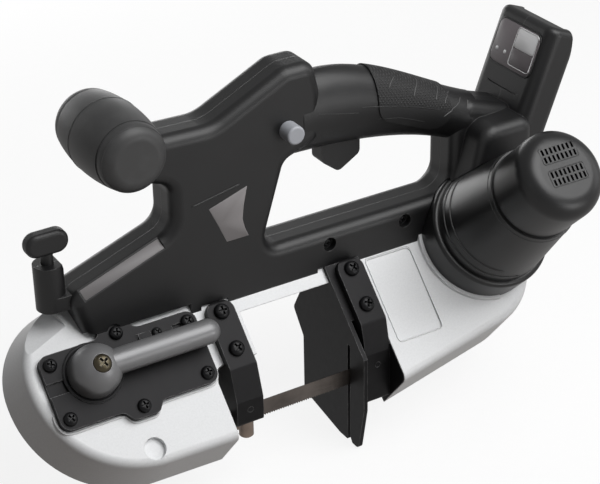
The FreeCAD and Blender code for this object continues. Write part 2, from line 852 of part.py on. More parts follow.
def build_screw(name, seat, head_rad, head, shank_rad, shank):
    """A screw whose head stands on its seat."""
    cap = cylinder(name + "Head", head_rad, head, Placement(seat, Rotation()))
    stem = cylinder(name + "Shank", shank_rad, shank, Placement(seat, Rotation(Vector(1, 0, 0), 180)))
    return fuse(name, [cap, stem])


def build_lever():
    seat = size.deck_rise + size.plate_thick + size.seat_gap
    hub = new_body("LeverHub")
    top = size.lever_hub_rise
    low = size.lever_dome_low
    across_turn = math.radians(size.deck_tilt)
    shoulder = Vector(size.lever_hub_rad * math.cos(across_turn), low + (top - low) * math.sin(across_turn),
                      0)
    foot = [Vector(0, low, 0), Vector(0, 0, 0), Vector(size.lever_hub_rad, 0, 0),
            Vector(size.lever_hub_rad, low, 0)]
    profile = [Part.LineSegment(start, end) for start, end in zip(foot, foot[1:])]
    profile.append(Part.Arc(foot[-1], shoulder, Vector(0, top, 0)))
    profile.append(Part.LineSegment(Vector(0, top, 0), foot[0]))
    revolve(hub, "Dome", draw(hub, "Profile", "XZ_Plane", 0, profile))
    bore = [circle(0, 0, size.lever_screw_rad)]
    pocket(hub, "ScrewSeat", draw(hub, "SeatCircle", "XY_Plane", top, bore), "lever_screw_sunk", False)
    turn = Rotation(Vector(0, 1, 0), 90)
    arm = cylinder("LeverArm", "lever_arm_rad", "lever_arm_length - lever_hub_rad / 2",
                   Placement(Vector(size.lever_hub_rad / 2, 0, size.lever_arm_rise), turn))
    end = doc.addObject("Part::Sphere", "LeverEnd")
    end.setExpression("Radius", bound("lever_arm_rad"))
    end.Placement = Placement(Vector(size.lever_arm_length, 0, size.lever_arm_rise), Rotation())
    node(fuse("Lever", [hub, arm, end]), "tension_lever", deck_at(lever_u, lever_v, seat))

    shaft = cylinder("CamShaft", "cam_rad", "seat_gap + plate_thick + top_wall",
                     Placement(Vector(0, 0, deck_under), Rotation()))
    pin = cylinder("CamPin", "cam_pin_rad", "slide_thick",
                   Placement(Vector(-size.cam_throw, 0, deck_under - size.slide_thick), Rotation()))
    node(fuse("Cam", [shaft, pin]), "lever_cam", deck_at(lever_u, lever_v))

    screw = new_body("LeverScrew")
    head = size.lever_screw_sunk + size.lever_screw_rise
    low = seat + top - size.lever_screw_sunk
    profile = rounded([(0, 0, 0), (size.lever_screw_rad, 0, 0),
                       (size.lever_screw_rad, head - size.lever_screw_rise / 2, 0),
                       (size.lever_screw_rad - size.lever_screw_rise / 2, head, 0), (0, head, 0)])
    revolve(screw, "Head", draw(screw, "Profile", "XZ_Plane", 0, profile))
    node(screw, "lever_screw", deck_at(lever_u, lever_v, low))


# Blade guides and work stop

def build_guide(name, start, width, low_end, lift):
    """A guide arm: a flange on the deck and a leg that holds three rollers round the blade."""
    length = getattr(size, width)
    guide_bottom = -size.origin_rise - getattr(size, low_end)
    middle = start + length / 2
    seat = size.deck_rise + lift
    step = size.step_rise - size.seat_gap
    heel = sum(deck_point(step, 0)) - size.guide_far
    round_off = size.guide_corner
    corners = [(size.guide_far, guide_bottom, round_off), (size.guide_far, heel, round_off),
               (*deck_point(step, seat), 0), (*deck_point(size.guide_top, seat), 0),
               (*deck_point(size.guide_top, seat + size.guide_flange), round_off),
               (*deck_point(step - size.guide_flange, seat + size.guide_flange), round_off),
               (-size.guide_near, deck_point(0, seat)[1], round_off),
               (-size.guide_near, guide_bottom, round_off)]
    body = new_body(name.title() + "Guide")
    pad(body, "Arm", draw(body, "Outline", "YZ_Plane", start, rounded(corners)), width)
    slot = rectangle(-size.guide_slot, guide_bottom - size.overrun, size.guide_slot,
                     blade_back + size.guide_slot_over)
    pocket(body, "Slot", draw(body, "SlotOutline", "YZ_Plane", start, slot), width)

    side = size.blade_thick / 2 + size.roller_gap + size.roller_rad
    low = -size.origin_rise - size.roller_drop
    rooms = [circle(middle, y, size.roller_rad + size.roller_room) for y in (-side, side)]
    pocket(body, "RollerRooms", draw(body, "RoomCircles", "XY_Plane", guide_bottom, rooms),
           low_end + " + roller_length - roller_drop + roller_room")
    pins = [circle(middle, y, size.roller_pin_rad) for y in (-side, side)]
    pocket(body, "PinHoles", draw(body, "PinCircles", "XY_Plane", guide_bottom, pins),
           low_end + " + roller_length - roller_drop + roller_pin_grip")
    thrust_z = blade_back + size.roller_gap + size.roller_rad
    room = [circle(middle, thrust_z, size.roller_rad + size.roller_room)]
    half = size.thrust_half + size.roller_room
    pocket(body, "ThrustRoom", draw(body, "ThrustCircle", "XZ_Plane", -half, room),
           "2 * (thrust_half + roller_room)")
    hole = [circle(middle, thrust_z, size.roller_pin_rad)]
    pocket(body, "ThrustPinHole", draw(body, "ThrustPinCircle", "XZ_Plane", -size.guide_far, hole),
           "guide_far + guide_near")
    tools = [cylinder(f"{name.title()}GuideHole{index}", "guide_screw_rad", "guide_flange",
                      deck_at(u, v, seat))
             for index, (u, v) in enumerate(guide_screw_places()) if abs(u - middle) < length / 2]
    plan = new_body(name.title() + "GuidePlan")
    toe = size.guide_foot_round
    reach = size.deck_depth
    outline = rounded([(start, -reach, 0), (start + length, -reach, 0),
                       (start + length, size.guide_top, toe),
                       (start, size.guide_top, toe)])
    pad(plan, "Plan", draw(plan, "PlanOutline", "XY_Plane", -reach, outline), "2 * deck_depth")
    plan.Placement = DECK
    arm = doc.addObject("Part::Common", name.title() + "GuideShape")
    arm.Base = body
    arm.Tool = plan
    node(cut(name.title() + "GuideArm", arm, tools), name + "_guide_arm")

    pieces = [cylinder(f"{name.title()}RollerPin{index}", "roller_pin_rad",
                       "roller_length + roller_pin_grip",
                       Placement(Vector(middle, y, low), Rotation()))
              for index, y in enumerate((-side, side))]
    pieces.append(cylinder(f"{name.title()}ThrustPin", "roller_pin_rad", "guide_far + guide_near",
                           along_y(middle, -size.guide_near, thrust_z)))
    node(group(name.title() + "RollerPins", pieces), name + "_roller_pins")
    for label, y in (("near", -side), ("far", side)):
        build_roller(f"{name}_{label}_roller", "roller_length",
                     Placement(Vector(middle, y, low), Rotation()))
    build_roller(f"{name}_thrust_roller", "2 * thrust_half", along_y(middle, -size.thrust_half, thrust_z))


def build_roller(label, length, place):
    outer = cylinder(label + "_outer", "roller_rad", length, Placement())
    bore = cylinder(label + "_bore", "roller_pin_rad + run_gap", length, Placement())
    node(cut(label + "_solid", outer, [bore]), label, place)


def build_guide_screws():
    lifts = [0, 0, size.stop_thick, size.stop_thick]
    screws = []
    for index, (u, v) in enumerate(guide_screw_places()):
        seat = Vector(u, v, size.deck_rise + lifts[index] + size.guide_flange)
        shank = "guide_flange + top_wall" if index < 2 else "guide_flange + top_wall + stop_thick"
        screws.append(build_screw(f"GuideScrew{index}", seat, "guide_screw_head_rad", "guide_screw_head",
                                  "guide_screw_rad", shank))
    node(group("GuideScrews", screws), "guide_screws", DECK)


def build_work_stop():
    """A bent steel plate: a flange on the deck and a face in the throat, slotted for the blade."""
    body = new_body("WorkStop")
    low = -size.origin_rise - size.stop_prong
    top = size.deck_rise + size.stop_thick
    roof = throat_roof / math.cos(math.radians(size.deck_tilt)) - size.deck_rise - size.seat_gap
    edge = deck_point(roof, size.deck_rise)
    start = deck_point(size.stop_thick, top)
    round_off = size.stop_corner
    wing = -size.origin_rise + size.stop_wing_step
    corners = [
        (*deck_point(roof, top), 0), (*start, 0),
        (start[0], -size.origin_rise - size.stop_wing_bend, round_off),
        (-size.stop_prong_near, low, round_off), (-size.stop_prong_tip, low, size.stop_slot),
        (-size.stop_slot, low + size.stop_corner, size.stop_slot),
        (-size.stop_slot, -size.stop_prong_near, 0),
        (size.stop_slot, -size.stop_prong_near, 0), (size.stop_slot, low, size.stop_slot),
        (size.stop_prong_near, low, round_off), (size.stop_wing, -size.origin_rise - size.stop_wing_low,
                                                 round_off),
        (size.stop_wing, wing, round_off), (size.stop_wing_top, wing + size.stop_wing_bend, round_off),
        (*deck_point(roof + size.rim_drop, deck_under - size.rim_drop), round_off), (*edge, 0)]
    pad(body, "Face", draw(body, "FaceOutline", "YZ_Plane", 0, rounded(corners)), "stop_thick")
    step = size.step_rise - size.seat_gap
    flange = [deck_point(step, size.deck_rise), deck_point(size.guide_top, size.deck_rise),
              deck_point(size.guide_top, top), deck_point(step, top)]
    pad(body, "Flange", draw(body, "FlangeOutline", "YZ_Plane", 0, rounded([(y, z, 0) for y, z in flange])),
        "stop_flange")
    holes = [cylinder(f"StopHole{index}", "guide_screw_rad", "stop_thick", deck_at(u, v, size.deck_rise))
             for index, (u, v) in enumerate(guide_screw_places()) if u > 0]
    node(cut("WorkStopPlate", body, holes), "work_stop")


# Gear case, motor and reduction

def turned(name, label, corners):
    """A ring or cup turned about the motor's axis."""
    body = new_body(name)
    revolve(body, "Turned", draw(body, "Profile", "XZ_Plane", 0, rounded(corners)))
    return node(body, label, deck_at(motor_u, motor_v))


def build_motor():
    deck = size.deck_rise
    floor = deck + size.case_floor
    turned("GearCase", "gear_case", [
        (size.pinion_shaft_rad + size.motor_clear, deck, 0), (size.case_rad, deck, 0),
        (size.case_rad, case_top, size.case_round), (size.gearbox_rad, case_top, 0),
        (size.gearbox_rad, floor, 0), (size.pinion_shaft_rad + size.motor_clear, floor, 0)])
    input_low = case_top - size.motor_foot
    turned("Gearbox", "reduction_gearbox", [
        (size.pinion_shaft_rad + size.run_gap, floor, 0), (size.gearbox_rad, floor, 0),
        (size.gearbox_rad, case_top, 0), (size.rotor_shaft_rad + size.run_gap, case_top, 0),
        (size.rotor_shaft_rad + size.run_gap, input_low, 0), (0, input_low, 0),
        (0, deck + size.case_rise / 2 + size.seat_gap, 0),
        (size.pinion_shaft_rad + size.run_gap, deck + size.case_rise / 2 + size.seat_gap, 0)])
    bore = size.motor_neck_rad - size.motor_wall
    turned("MotorHousing", "motor_housing", [
        (size.rotor_shaft_rad + size.motor_clear, case_top, 0), (size.motor_foot_rad, case_top, 0),
        (size.motor_foot_rad, case_top + size.motor_foot, size.case_round),
        (size.motor_neck_rad, motor_top, 0),
        (bore, motor_top, 0), (bore, case_top + size.motor_foot, 0),
        (size.rotor_shaft_rad + size.motor_clear, case_top + size.motor_foot, 0)])
    stator_low = case_top + size.motor_foot + size.stator_lift
    turned("Stator", "motor_stator", [
        (size.stator_bore, stator_low, 0), (bore, stator_low, 0),
        (bore, stator_low + size.stator_length, 0), (size.stator_bore, stator_low + size.stator_length, 0)])
    fan_low = motor_top + size.cap_gap
    fan_top = fan_low + size.fan_thick
    turned("Rotor", "motor_rotor", [
        (0, input_low + size.seat_gap, 0), (size.rotor_shaft_rad, input_low + size.seat_gap, 0),
        (size.rotor_shaft_rad, stator_low, 0), (size.rotor_rad, stator_low, 0),
        (size.rotor_rad, stator_low + size.stator_length, 0),
        (size.rotor_shaft_rad, stator_low + size.stator_length, 0),
        (size.rotor_shaft_rad, fan_low, 0), (size.fan_rad, fan_low, 0), (size.fan_rad, fan_top, 0),
        (0, fan_top, 0)])

    cap = new_body("EndCap")
    inner = size.cap_rad - size.cap_wall
    roof = cap_top - size.cap_wall
    profile = rounded([(inner, motor_top, 0), (size.cap_rad, motor_top, 0),
                       (size.cap_rad, cap_top, size.cap_round), (0, cap_top, 0), (0, roof, 0),
                       (inner, roof, size.cap_round - size.cap_wall)])
    revolve(cap, "Turned", draw(cap, "Profile", "XZ_Plane", 0, profile))
    slots = []
    rows = int(size.vent_rows)
    for side in (-1, 1):
        for line in range(rows):
            v = size.vent_lift + side * size.vent_offset + (line - (rows - 1) / 2) * size.vent_row_pitch
            for index in range(int(size.vent_count)):
                u = (index - (size.vent_count - 1) / 2) * size.vent_pitch
                slots += rectangle(u - size.vent_width / 2, v - size.vent_length / 2,
                                   u + size.vent_width / 2, v + size.vent_length / 2)
    pocket(cap, "Vents", draw(cap, "VentOutlines", "XY_Plane", cap_top, slots), "cap_wall + overrun", False)
    node(cap, "motor_end_cap", deck_at(motor_u, motor_v))


def motor_room():
    """The space that the housing leaves for the gear case and the motor."""
    clear = size.motor_clear
    body = new_body("MotorRoom")
    lip = size.case_rad + size.lip_width + clear
    lip_top = size.deck_rise + size.lip_rise + clear
    corners = [(0, size.deck_rise - size.overrun, 0), (lip, size.deck_rise - size.overrun, 0),
               (lip, lip_top, 0),
               (size.case_rad + clear, lip_top, 0), (size.case_rad + clear, case_top + clear, 0),
               (size.motor_foot_rad + clear, case_top + clear, 0),
               (size.motor_foot_rad + clear, case_top + size.motor_foot, 0),
               (size.motor_neck_rad + clear, motor_top, 0), (size.motor_neck_rad + clear, cap_top, 0),
               (0, cap_top, 0)]
    revolve(body, "Turned", draw(body, "Profile", "XZ_Plane", 0, rounded(corners)))
    body.Placement = deck_at(motor_u, motor_v)
    return body


# Handle housing

def across(body, name, corners):
    """A prism across the handle, symmetric about its middle plane."""
    sketch = draw(body, name + "Outline", "XZ_Plane", -size.handle_mid - size.body_half, rounded(corners))
    return pad(body, name, sketch, "2 * body_half")


def build_side_profile():
    """Base, head, rail and rear post as one moulding, with the hand opening left free."""
    small = size.round_small
    large = size.round_large
    front = min(small, size.head_round_share * (head_notch - head_low))
    body = new_body("SideProfile")
    corners = [
        (-size.base_front, 0, small), (-size.nose_front, size.base_front_top, small),
        (-size.post_front, size.base_back_top, large), (-size.post_front, head_low, small),
        (-size.bulb_x, head_low + front, front), (-size.bulb_x, head_notch, front),
        (-size.head_front, head_front_top, large * 2), (-size.head_peak, size.head_top, large),
        (-size.head_back, size.head_top, small), (size.head_rear, head_rear_top, small),
        (0, loop_top + small, small), (-size.loop_front_top, loop_top, small),
        (-size.loop_front, size.loop_low, small), (size.loop_rear, size.loop_low, large),
        (size.loop_rear, size.grip_rear_mid, small), (size.rail_end, size.post_top, small),
        (size.post_rear, size.post_top - large, small), (size.post_rear, 0, small)]
    across(body, "Side", corners)
    near = size.handle_mid - size.body_half
    far = size.handle_mid + size.body_half
    fillet(body, "Rounding", "body_fillet",
           lambda edge: flat_in(edge, "y", near) or flat_in(edge, "y", far))
    return body


def grip_loft(name, grow):
    """The rounded grip between the head and the rear post, through four ovals."""
    stations = [(-size.grip_front, size.grip_top_mid + size.grip_front_lift, size.grip_front_half),
                (size.grip_top_at, size.grip_top_mid, size.grip_top_half),
                (size.grip_waist_at, size.grip_top_mid - size.grip_waist_drop, size.grip_waist_half),
                (size.grip_rear, size.grip_rear_mid, size.grip_rear_half)]
    body = new_body(name)
    sections = []
    for index, (x, z, half) in enumerate(stations):
        oval = Part.Ellipse(Vector(size.handle_mid, z + half + grow, 0),
                            Vector(size.handle_mid + size.grip_half + grow, z, 0),
                            Vector(size.handle_mid, z, 0))
        sections.append(draw(body, f"Oval{index}", "YZ_Plane", x, [oval]))
    loft = body.newObject("PartDesign::AdditiveLoft", "Grip")
    loft.Profile = sections[0]
    loft.Sections = sections[1:]
    doc.recompute()
    return body


def dock_place():
    return Placement(Vector(size.dock_x, size.handle_mid, size.dock_z),
                     Rotation(Vector(0, 1, 0), size.dock_tilt))


def build_dock():
    """The head that takes the battery: a slab across the handle with a railed channel at its back."""
    body = new_body("Dock")
    half = size.dock_half
    outline = rectangle(0, -half, size.dock_thick, half, size.dock_corner)
    pad(body, "Slab", draw(body, "Outline", "XY_Plane", -size.dock_down, outline), "dock_up + dock_down")
    fillet(body, "TopEdge", "dock_fillet", lambda edge: flat_in(edge, "z", size.dock_up))
    back = size.dock_thick
    groove_low = back - size.rail_groove_at - size.rail_groove
    wide = size.rail_half + size.rail_groove_depth
    channel = rounded([
        (back - size.rail_depth, -size.rail_half, 0), (groove_low, -size.rail_half, 0),
        (groove_low, -wide, 0),
        (groove_low + size.rail_groove, -wide, 0), (groove_low + size.rail_groove, -size.rail_half, 0),
        (back + size.overrun, -size.rail_half, 0), (back + size.overrun, size.rail_half, 0),
        (groove_low + size.rail_groove, size.rail_half, 0), (groove_low + size.rail_groove, wide, 0),
        (groove_low, wide, 0), (groove_low, size.rail_half, 0),
        (back - size.rail_depth, size.rail_half, 0)])
    pocket(body, "Rails", draw(body, "RailSection", "XY_Plane", -size.dock_floor, channel),
           "dock_up + dock_floor + overrun")
    slope = rounded([(size.dock_top_thick, size.dock_up + size.overrun, 0),
                     (size.dock_top_thick, size.dock_up, 0),
                     (back, size.dock_up - size.dock_slope, 0),
                     (back + size.overrun, size.dock_up - size.dock_slope, 0),
                     (back + size.overrun, size.dock_up + size.overrun, 0)])
    pocket(body, "BackSlope", draw(body, "SlopeOutline", "XZ_Plane", -half, slope), "2 * dock_half")
    window = rectangle(-size.display_half, size.display_low, size.display_half, size.display_high,
                       size.display_corner)
    pocket(body, "DisplaySeat", draw(body, "WindowOutline", "YZ_Plane", 0, window), "display_sunk")
    body.Placement = dock_place()

    panel = new_body("Display")
    pad(panel, "Panel", draw(panel, "Outline", "YZ_Plane", size.display_sunk - size.display_thick, window),
        "display_thick")
    node(panel, "display_panel", dock_place())

    block = new_body("Terminals")
    seat = back - size.rail_depth
    outline = rectangle(seat, -size.terminal_half, seat + size.terminal_thick, size.terminal_half)
    pad(block, "Block", draw(block, "Outline", "XY_Plane", -size.dock_floor, outline), "terminal_length")
    blades = []
    top = seat + size.terminal_thick
    for index in (-1, 0, 1):
        middle = index * size.contact_pitch
        blades += rectangle(top, middle - size.contact_thick / 2, top + size.contact_rise,
                            middle + size.contact_thick / 2)
    pad(block, "Contacts", draw(block, "ContactOutlines", "XY_Plane", -size.dock_floor, blades),
        "contact_length")
    node(block, "terminal_block", dock_place())
    return body


def build_saddle():
    """The moulding that reaches from the rear post round the motor."""
    body = new_body("Saddle")
    corners = [(size.loop_rear, 0, 0), (size.loop_rear, size.loop_low, size.round_large),
               (size.rail_end, size.post_top - size.round_large, size.round_large),
               (size.post_rear, size.post_top - size.round_large, size.round_small), (size.post_rear, 0, 0)]
    sketch = draw(body, "Outline", "XZ_Plane", -size.handle_mid, rounded(corners))
    pad(body, "Block", sketch, "handle_mid - saddle_near")
    fillet(body, "Rounding", "body_fillet", lambda edge: flat_in(edge, "y", size.saddle_near))
    return body


def box(name, low, high):
    """A plain cutting block between two corners."""
    thing = doc.addObject("Part::Box", name)
    thing.Length, thing.Width, thing.Height = (top - bottom for bottom, top in zip(low, high))
    thing.Placement = Placement(Vector(*low), Rotation())
    return thing


def edge_rooms():
    """Reliefs under the housing's edge for the tension plate, its screws and the two guides' feet."""
    gap = size.seat_gap
    bed = doc.addObject("Part::Box", "PlateRoom")
    bed.setExpression("Length", bound("plate_ahead + plate_behind + 2 * seat_gap"))
    bed.setExpression("Width", bound("plate_low + plate_high + plate_tab + seat_gap"))
    bed.setExpression("Height", bound("plate_thick + seat_gap"))
    bed.Placement = deck_at(idler_u - size.plate_ahead - gap, axis_v - size.plate_low, size.deck_rise)
    wells = []
    for index, (u, v) in enumerate(deck_screw_places()):
        wells.append(cylinder(f"ScrewWell{index}", "screw_head_rad + screw_room",
                              "plate_thick + screw_head + screw_room",
                              deck_at(u, v, size.deck_rise)))
    feet = []
    for name, start, length, height in (
            ("Front", guide_start - gap, "guide_width + 2 * seat_gap", "guide_flange + seat_gap"),
            ("Rear", -size.overrun, "overrun + stop_flange + seat_gap",
             "stop_thick + guide_flange + seat_gap")):
        foot = doc.addObject("Part::Box", name + "FootRoom")
        foot.setExpression("Length", bound(length))
        foot.setExpression("Width", bound("guide_top + seat_gap"))
        foot.setExpression("Height", bound(height))
        foot.Placement = deck_at(start, 0, size.deck_rise)
        feet.append(foot)
    return [bed, *wells, *feet]


def side_cuts():
    """Cuts in the near side: screw wells in the rail, a flat strip on the base, a leaning facet."""
    near = size.handle_mid - size.body_half
    cuts = []
    for index in range(2):
        x = size.housing_screw_front + index * size.housing_screw_pitch
        cuts.append(cylinder(f"SideScrewWell{index}", "housing_screw_rad", "housing_screw_depth + overrun",
                             along_y(x, near - size.overrun, size.loop_low - size.housing_screw_drop)))

    along = Vector(size.nose_front - size.post_front, 0,
                   size.base_back_top - size.base_front_top).normalize()
    top = Vector(-along.z, 0, along.x)
    slant = (top - Vector(0, 1, 0)).normalize()
    inward = slant.cross(along)
    edge = Vector(-size.nose_front, near, size.base_front_top) + along * size.strip_start
    strip = slab("BaseStrip", edge - slant * size.strip_depth - inward * size.strip_length / 2, along,
                 slant,
                 size.strip_length)
    cuts.append(strip)

    outline = [(-size.facet_front, size.facet_high, 0), (-size.facet_back, size.facet_top, 0),
               (-size.facet_waist, (size.facet_high + size.facet_low) / 2, 0),
               (-size.facet_back, size.facet_low, 0),
               (-size.facet_low_front, size.facet_low, 0)]
    window = new_body("FacetWindow")
    sketch = draw(window, "Outline", "XZ_Plane", -size.handle_mid, rounded(outline))
    pad(window, "Window", sketch, "body_half + overrun")
    lean = math.radians(size.facet_lean)
    up = Vector(0, -math.cos(lean), math.sin(lean))
    reach = 2 * size.head_top
    low = Vector(-reach, near, size.facet_low) - Vector(0, math.sin(lean), math.cos(lean)) * reach / 2
    wedge = doc.addObject("Part::Common", "Facet")
    wedge.Base = window
    wedge.Tool = slab("FacetPlane", low, Vector(1, 0, 0), up, reach)
    cuts.append(wedge)
    return cuts


def build_housing():
    mid = size.handle_mid
    reach = front_reach + rear_reach
    boss = cylinder("KnobBoss", "knob_boss_rad", "knob_boss_top - knob_boss_low",
                    Placement(Vector(-size.knob_x, mid, size.knob_boss_low), Rotation()))
    arm = box("KnobArm", (-size.knob_x, mid - size.knob_boss_rad, size.knob_boss_low),
              (-size.base_front, mid + size.knob_boss_rad, size.base_front_top))
    whole = fuse("HousingSolid", [build_side_profile(), grip_loft("GripCore", 0), build_dock(),
                                  build_saddle(),
                                  boss, arm])
    deck_block = doc.addObject("Part::Box", "DeckRoom")
    deck_block.Length = 2 * reach
    deck_block.Width = 2 * reach
    deck_block.Height = reach
    deck_block.Placement = deck_at(-reach, -reach, size.deck_rise - reach)
    stem = cylinder("KnobBore", "knob_stem_rad + run_gap", "knob_low - knob_stem_low",
                    Placement(Vector(-size.knob_x, mid, size.knob_stem_low), Rotation()))
    bulb = cylinder("BulbRoom", "bulb_rad", "2 * (bulb_half + bulb_cap)",
                    along_y(-size.bulb_x, size.bulb_mid - size.bulb_half - size.bulb_cap, bulb_z))
    lock = cylinder("LockBore", "lock_rad + run_gap", "lock_out + lock_in + lock_travel",
                    along_y(-size.lock_x, mid - size.body_half - size.lock_out, lock_z))
    half = size.trigger_half + size.trigger_room
    slot = box("TriggerRoom", (size.trigger_front - size.trigger_room, mid - half,
                               trigger_low - size.overrun),
               (size.trigger_back + size.trigger_room, mid + half, trigger_top + size.trigger_room))
    switch_low = trigger_top + size.switch_lift
    switch = box("SwitchRoom", (size.trigger_front, mid - size.switch_half, trigger_top),
                 (size.trigger_front + size.switch_length, mid + size.switch_half,
                  switch_low + size.switch_rise))
    hollow = cut("HousingHollow", whole, [deck_block, motor_room(), stem, bulb, lock, slot, switch,
                                          *edge_rooms(), *side_cuts()])
    near_room = box("NearRoom", (-reach, -reach, -reach), (reach, mid, reach))
    far_room = box("FarRoom", (-reach, mid, -reach), (reach, reach, reach))
    for label, room in (("housing_near", near_room), ("housing_far", far_room)):
        half_shell = doc.addObject("Part::Common", label.title().replace("_", ""))
        half_shell.Base = hollow
        half_shell.Tool = room
        half_shell.Refine = True
        node(half_shell, label)

    unit = box("Switch", (size.trigger_front, mid - size.switch_half, switch_low),
               (size.trigger_front + size.switch_length, mid + size.switch_half,
                switch_low + size.switch_rise))
    node(unit, "switch_unit")


def build_cross_grip():
    """The front grip: a barrel across the tool with a rounded cap on each end."""
    barrel = new_body("Barrel")
    half = size.bulb_half
    end = size.bulb_end_rad
    bow = Part.Arc(Vector(end, -half, 0), Vector(size.bulb_rad, 0, 0), Vector(end, half, 0))
    edges = [bow, Part.LineSegment(Vector(end, half, 0), Vector(0, half, 0)),
             Part.LineSegment(Vector(0, half, 0), Vector(0, -half, 0)),
             Part.LineSegment(Vector(0, -half, 0), Vector(end, -half, 0))]
    revolve(barrel, "Turned", draw(barrel, "Profile", "XY_Plane", 0, edges))
    place = Placement(Vector(-size.bulb_x, size.bulb_mid, bulb_z), Rotation())
    node(barrel, "front_grip", place)
    caps = []
    for name, side in (("Near", -1), ("Far", 1)):
        cap = new_body(name + "Cap")
        rim = end - size.bulb_cap_step
        profile = [(0, side * half, 0), (rim, side * half, 0),
                   (rim, side * (half + size.bulb_cap), size.bulb_cap_rad),
                   (0, side * (half + size.bulb_cap), 0)]
        revolve(cap, "Turned", draw(cap, "Profile", "XY_Plane", 0, rounded(profile)))
        cap.Placement = place
        caps.append(cap)
    node(group("GripCaps", caps), "front_grip_caps")


def build_inlay():
    """The soft inlay over the top of the rear grip."""
    skin = grip_loft("GripSkin", size.inlay_thick)
    core = grip_loft("GripInside", 0)
    mid = size.handle_mid
    wide = size.grip_half + size.overrun
    high = size.grip_top_mid + size.grip_top_half + size.overrun
    corners = [(size.inlay_front, size.grip_top_mid - size.inlay_drop, size.round_large),
               (size.inlay_rear, size.grip_rear_mid, size.round_large),
               (size.inlay_rear, high, size.round_small), (size.inlay_front, high, size.round_small)]
    window = new_body("InlayWindow")
    sketch = draw(window, "Outline", "XZ_Plane", -mid - wide, rounded(corners))
    pad(window, "Window", sketch, "2 * (grip_half + overrun)")
    patch = doc.addObject("Part::Common", "InlayPatch")
    patch.Base = skin
    patch.Tool = window
    node(cut("Inlay", patch, [core]), "grip_inlay")


def build_controls():
    mid = size.handle_mid
    trigger = new_body("Trigger")
    corners = [(size.trigger_front, trigger_top, 0), (size.trigger_front, trigger_heel,
                                                      size.round_small / 2),
               (size.trigger_tip, trigger_low, size.round_small / 2),
               (size.trigger_back, trigger_heel, size.round_small / 2), (size.trigger_back, trigger_top, 0)]
    sketch = draw(trigger, "Outline", "XZ_Plane", -mid - size.trigger_half, rounded(corners))
    pad(trigger, "Blade", sketch, "2 * trigger_half")
    node(trigger, "trigger")

    button = new_body("LockButton")
    length = size.lock_out + size.lock_in
    profile = rounded([(0, 0, 0), (size.lock_rad, 0, size.lock_round), (size.lock_rad, length, 0),
                       (0, length, 0)])
    revolve(button, "Turned", draw(button, "Profile", "XY_Plane", 0, profile))
    near = mid - size.body_half - size.lock_out
    node(button, "lock_button", Placement(Vector(-size.lock_x, near, lock_z), Rotation()))

    knob = new_body("KnobHead")
    half = size.knob_half
    outline = rectangle(-half, 0, half, size.knob_rise, size.knob_rise / 2 - size.seat_gap)
    pad(knob, "Wing", draw(knob, "Outline", "XZ_Plane", -size.knob_thick / 2, outline), "knob_thick")
    fillet(knob, "Rounding", "knob_round",
           lambda edge: flat_in(edge, "y", size.knob_thick / 2) or flat_in(edge, "y", -size.knob_thick / 2))
    knob.Placement = Placement(Vector(0, 0, size.knob_low), Rotation())
    stem = cylinder("KnobStem", "knob_stem_rad", "knob_low - knob_stem_low + knob_rise / 2",
                    Placement(Vector(0, 0, size.knob_stem_low), Rotation()))
    node(fuse("Knob", [knob, stem]), "thumb_knob", Placement(Vector(-size.knob_x, mid, 0), Rotation()))


build_frame()
build_wheel("drive", drive_u)
build_wheel("idler", idler_u)
build_axle("drive", drive_u, deck_under + size.top_wall / 2)
build_gears()
build_blade()
build_tension()
build_lever()
build_guide("front", guide_start, "guide_width", "guide_low", 0)
build_guide("rear", size.stop_thick + size.guide_shift, "rear_guide_width", "rear_guide_low",
            size.stop_thick)
build_guide_screws()
build_work_stop()
build_motor()
build_housing()
build_cross_grip()
build_inlay()
build_controls()
doc.recompute()

for thing in doc.Objects:
    if "Invalid" in thing.State or "Error" in thing.State:
        raise RuntimeError(f"{thing.Name} ({thing.Label}) did not build: {thing.State}")
for thing in nodes:
    if thing.Shape.isNull() or not thing.Shape.isValid():
        raise RuntimeError(f"{thing.Label} has no valid shape")
for thing in nodes:
    thing.Shape.exportStep(f"parts/{thing.Label}.step")
    print(f"{thing.Label}: {len(thing.Shape.Solids)} solids, {thing.Shape.Volume:.0f} mm3")
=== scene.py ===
import math

import bmesh
import bpy
from bpy.props import FloatProperty, FloatVectorProperty, PointerProperty
from mathutils import Matrix, Vector
from mathutils.bvhtree import BVHTree


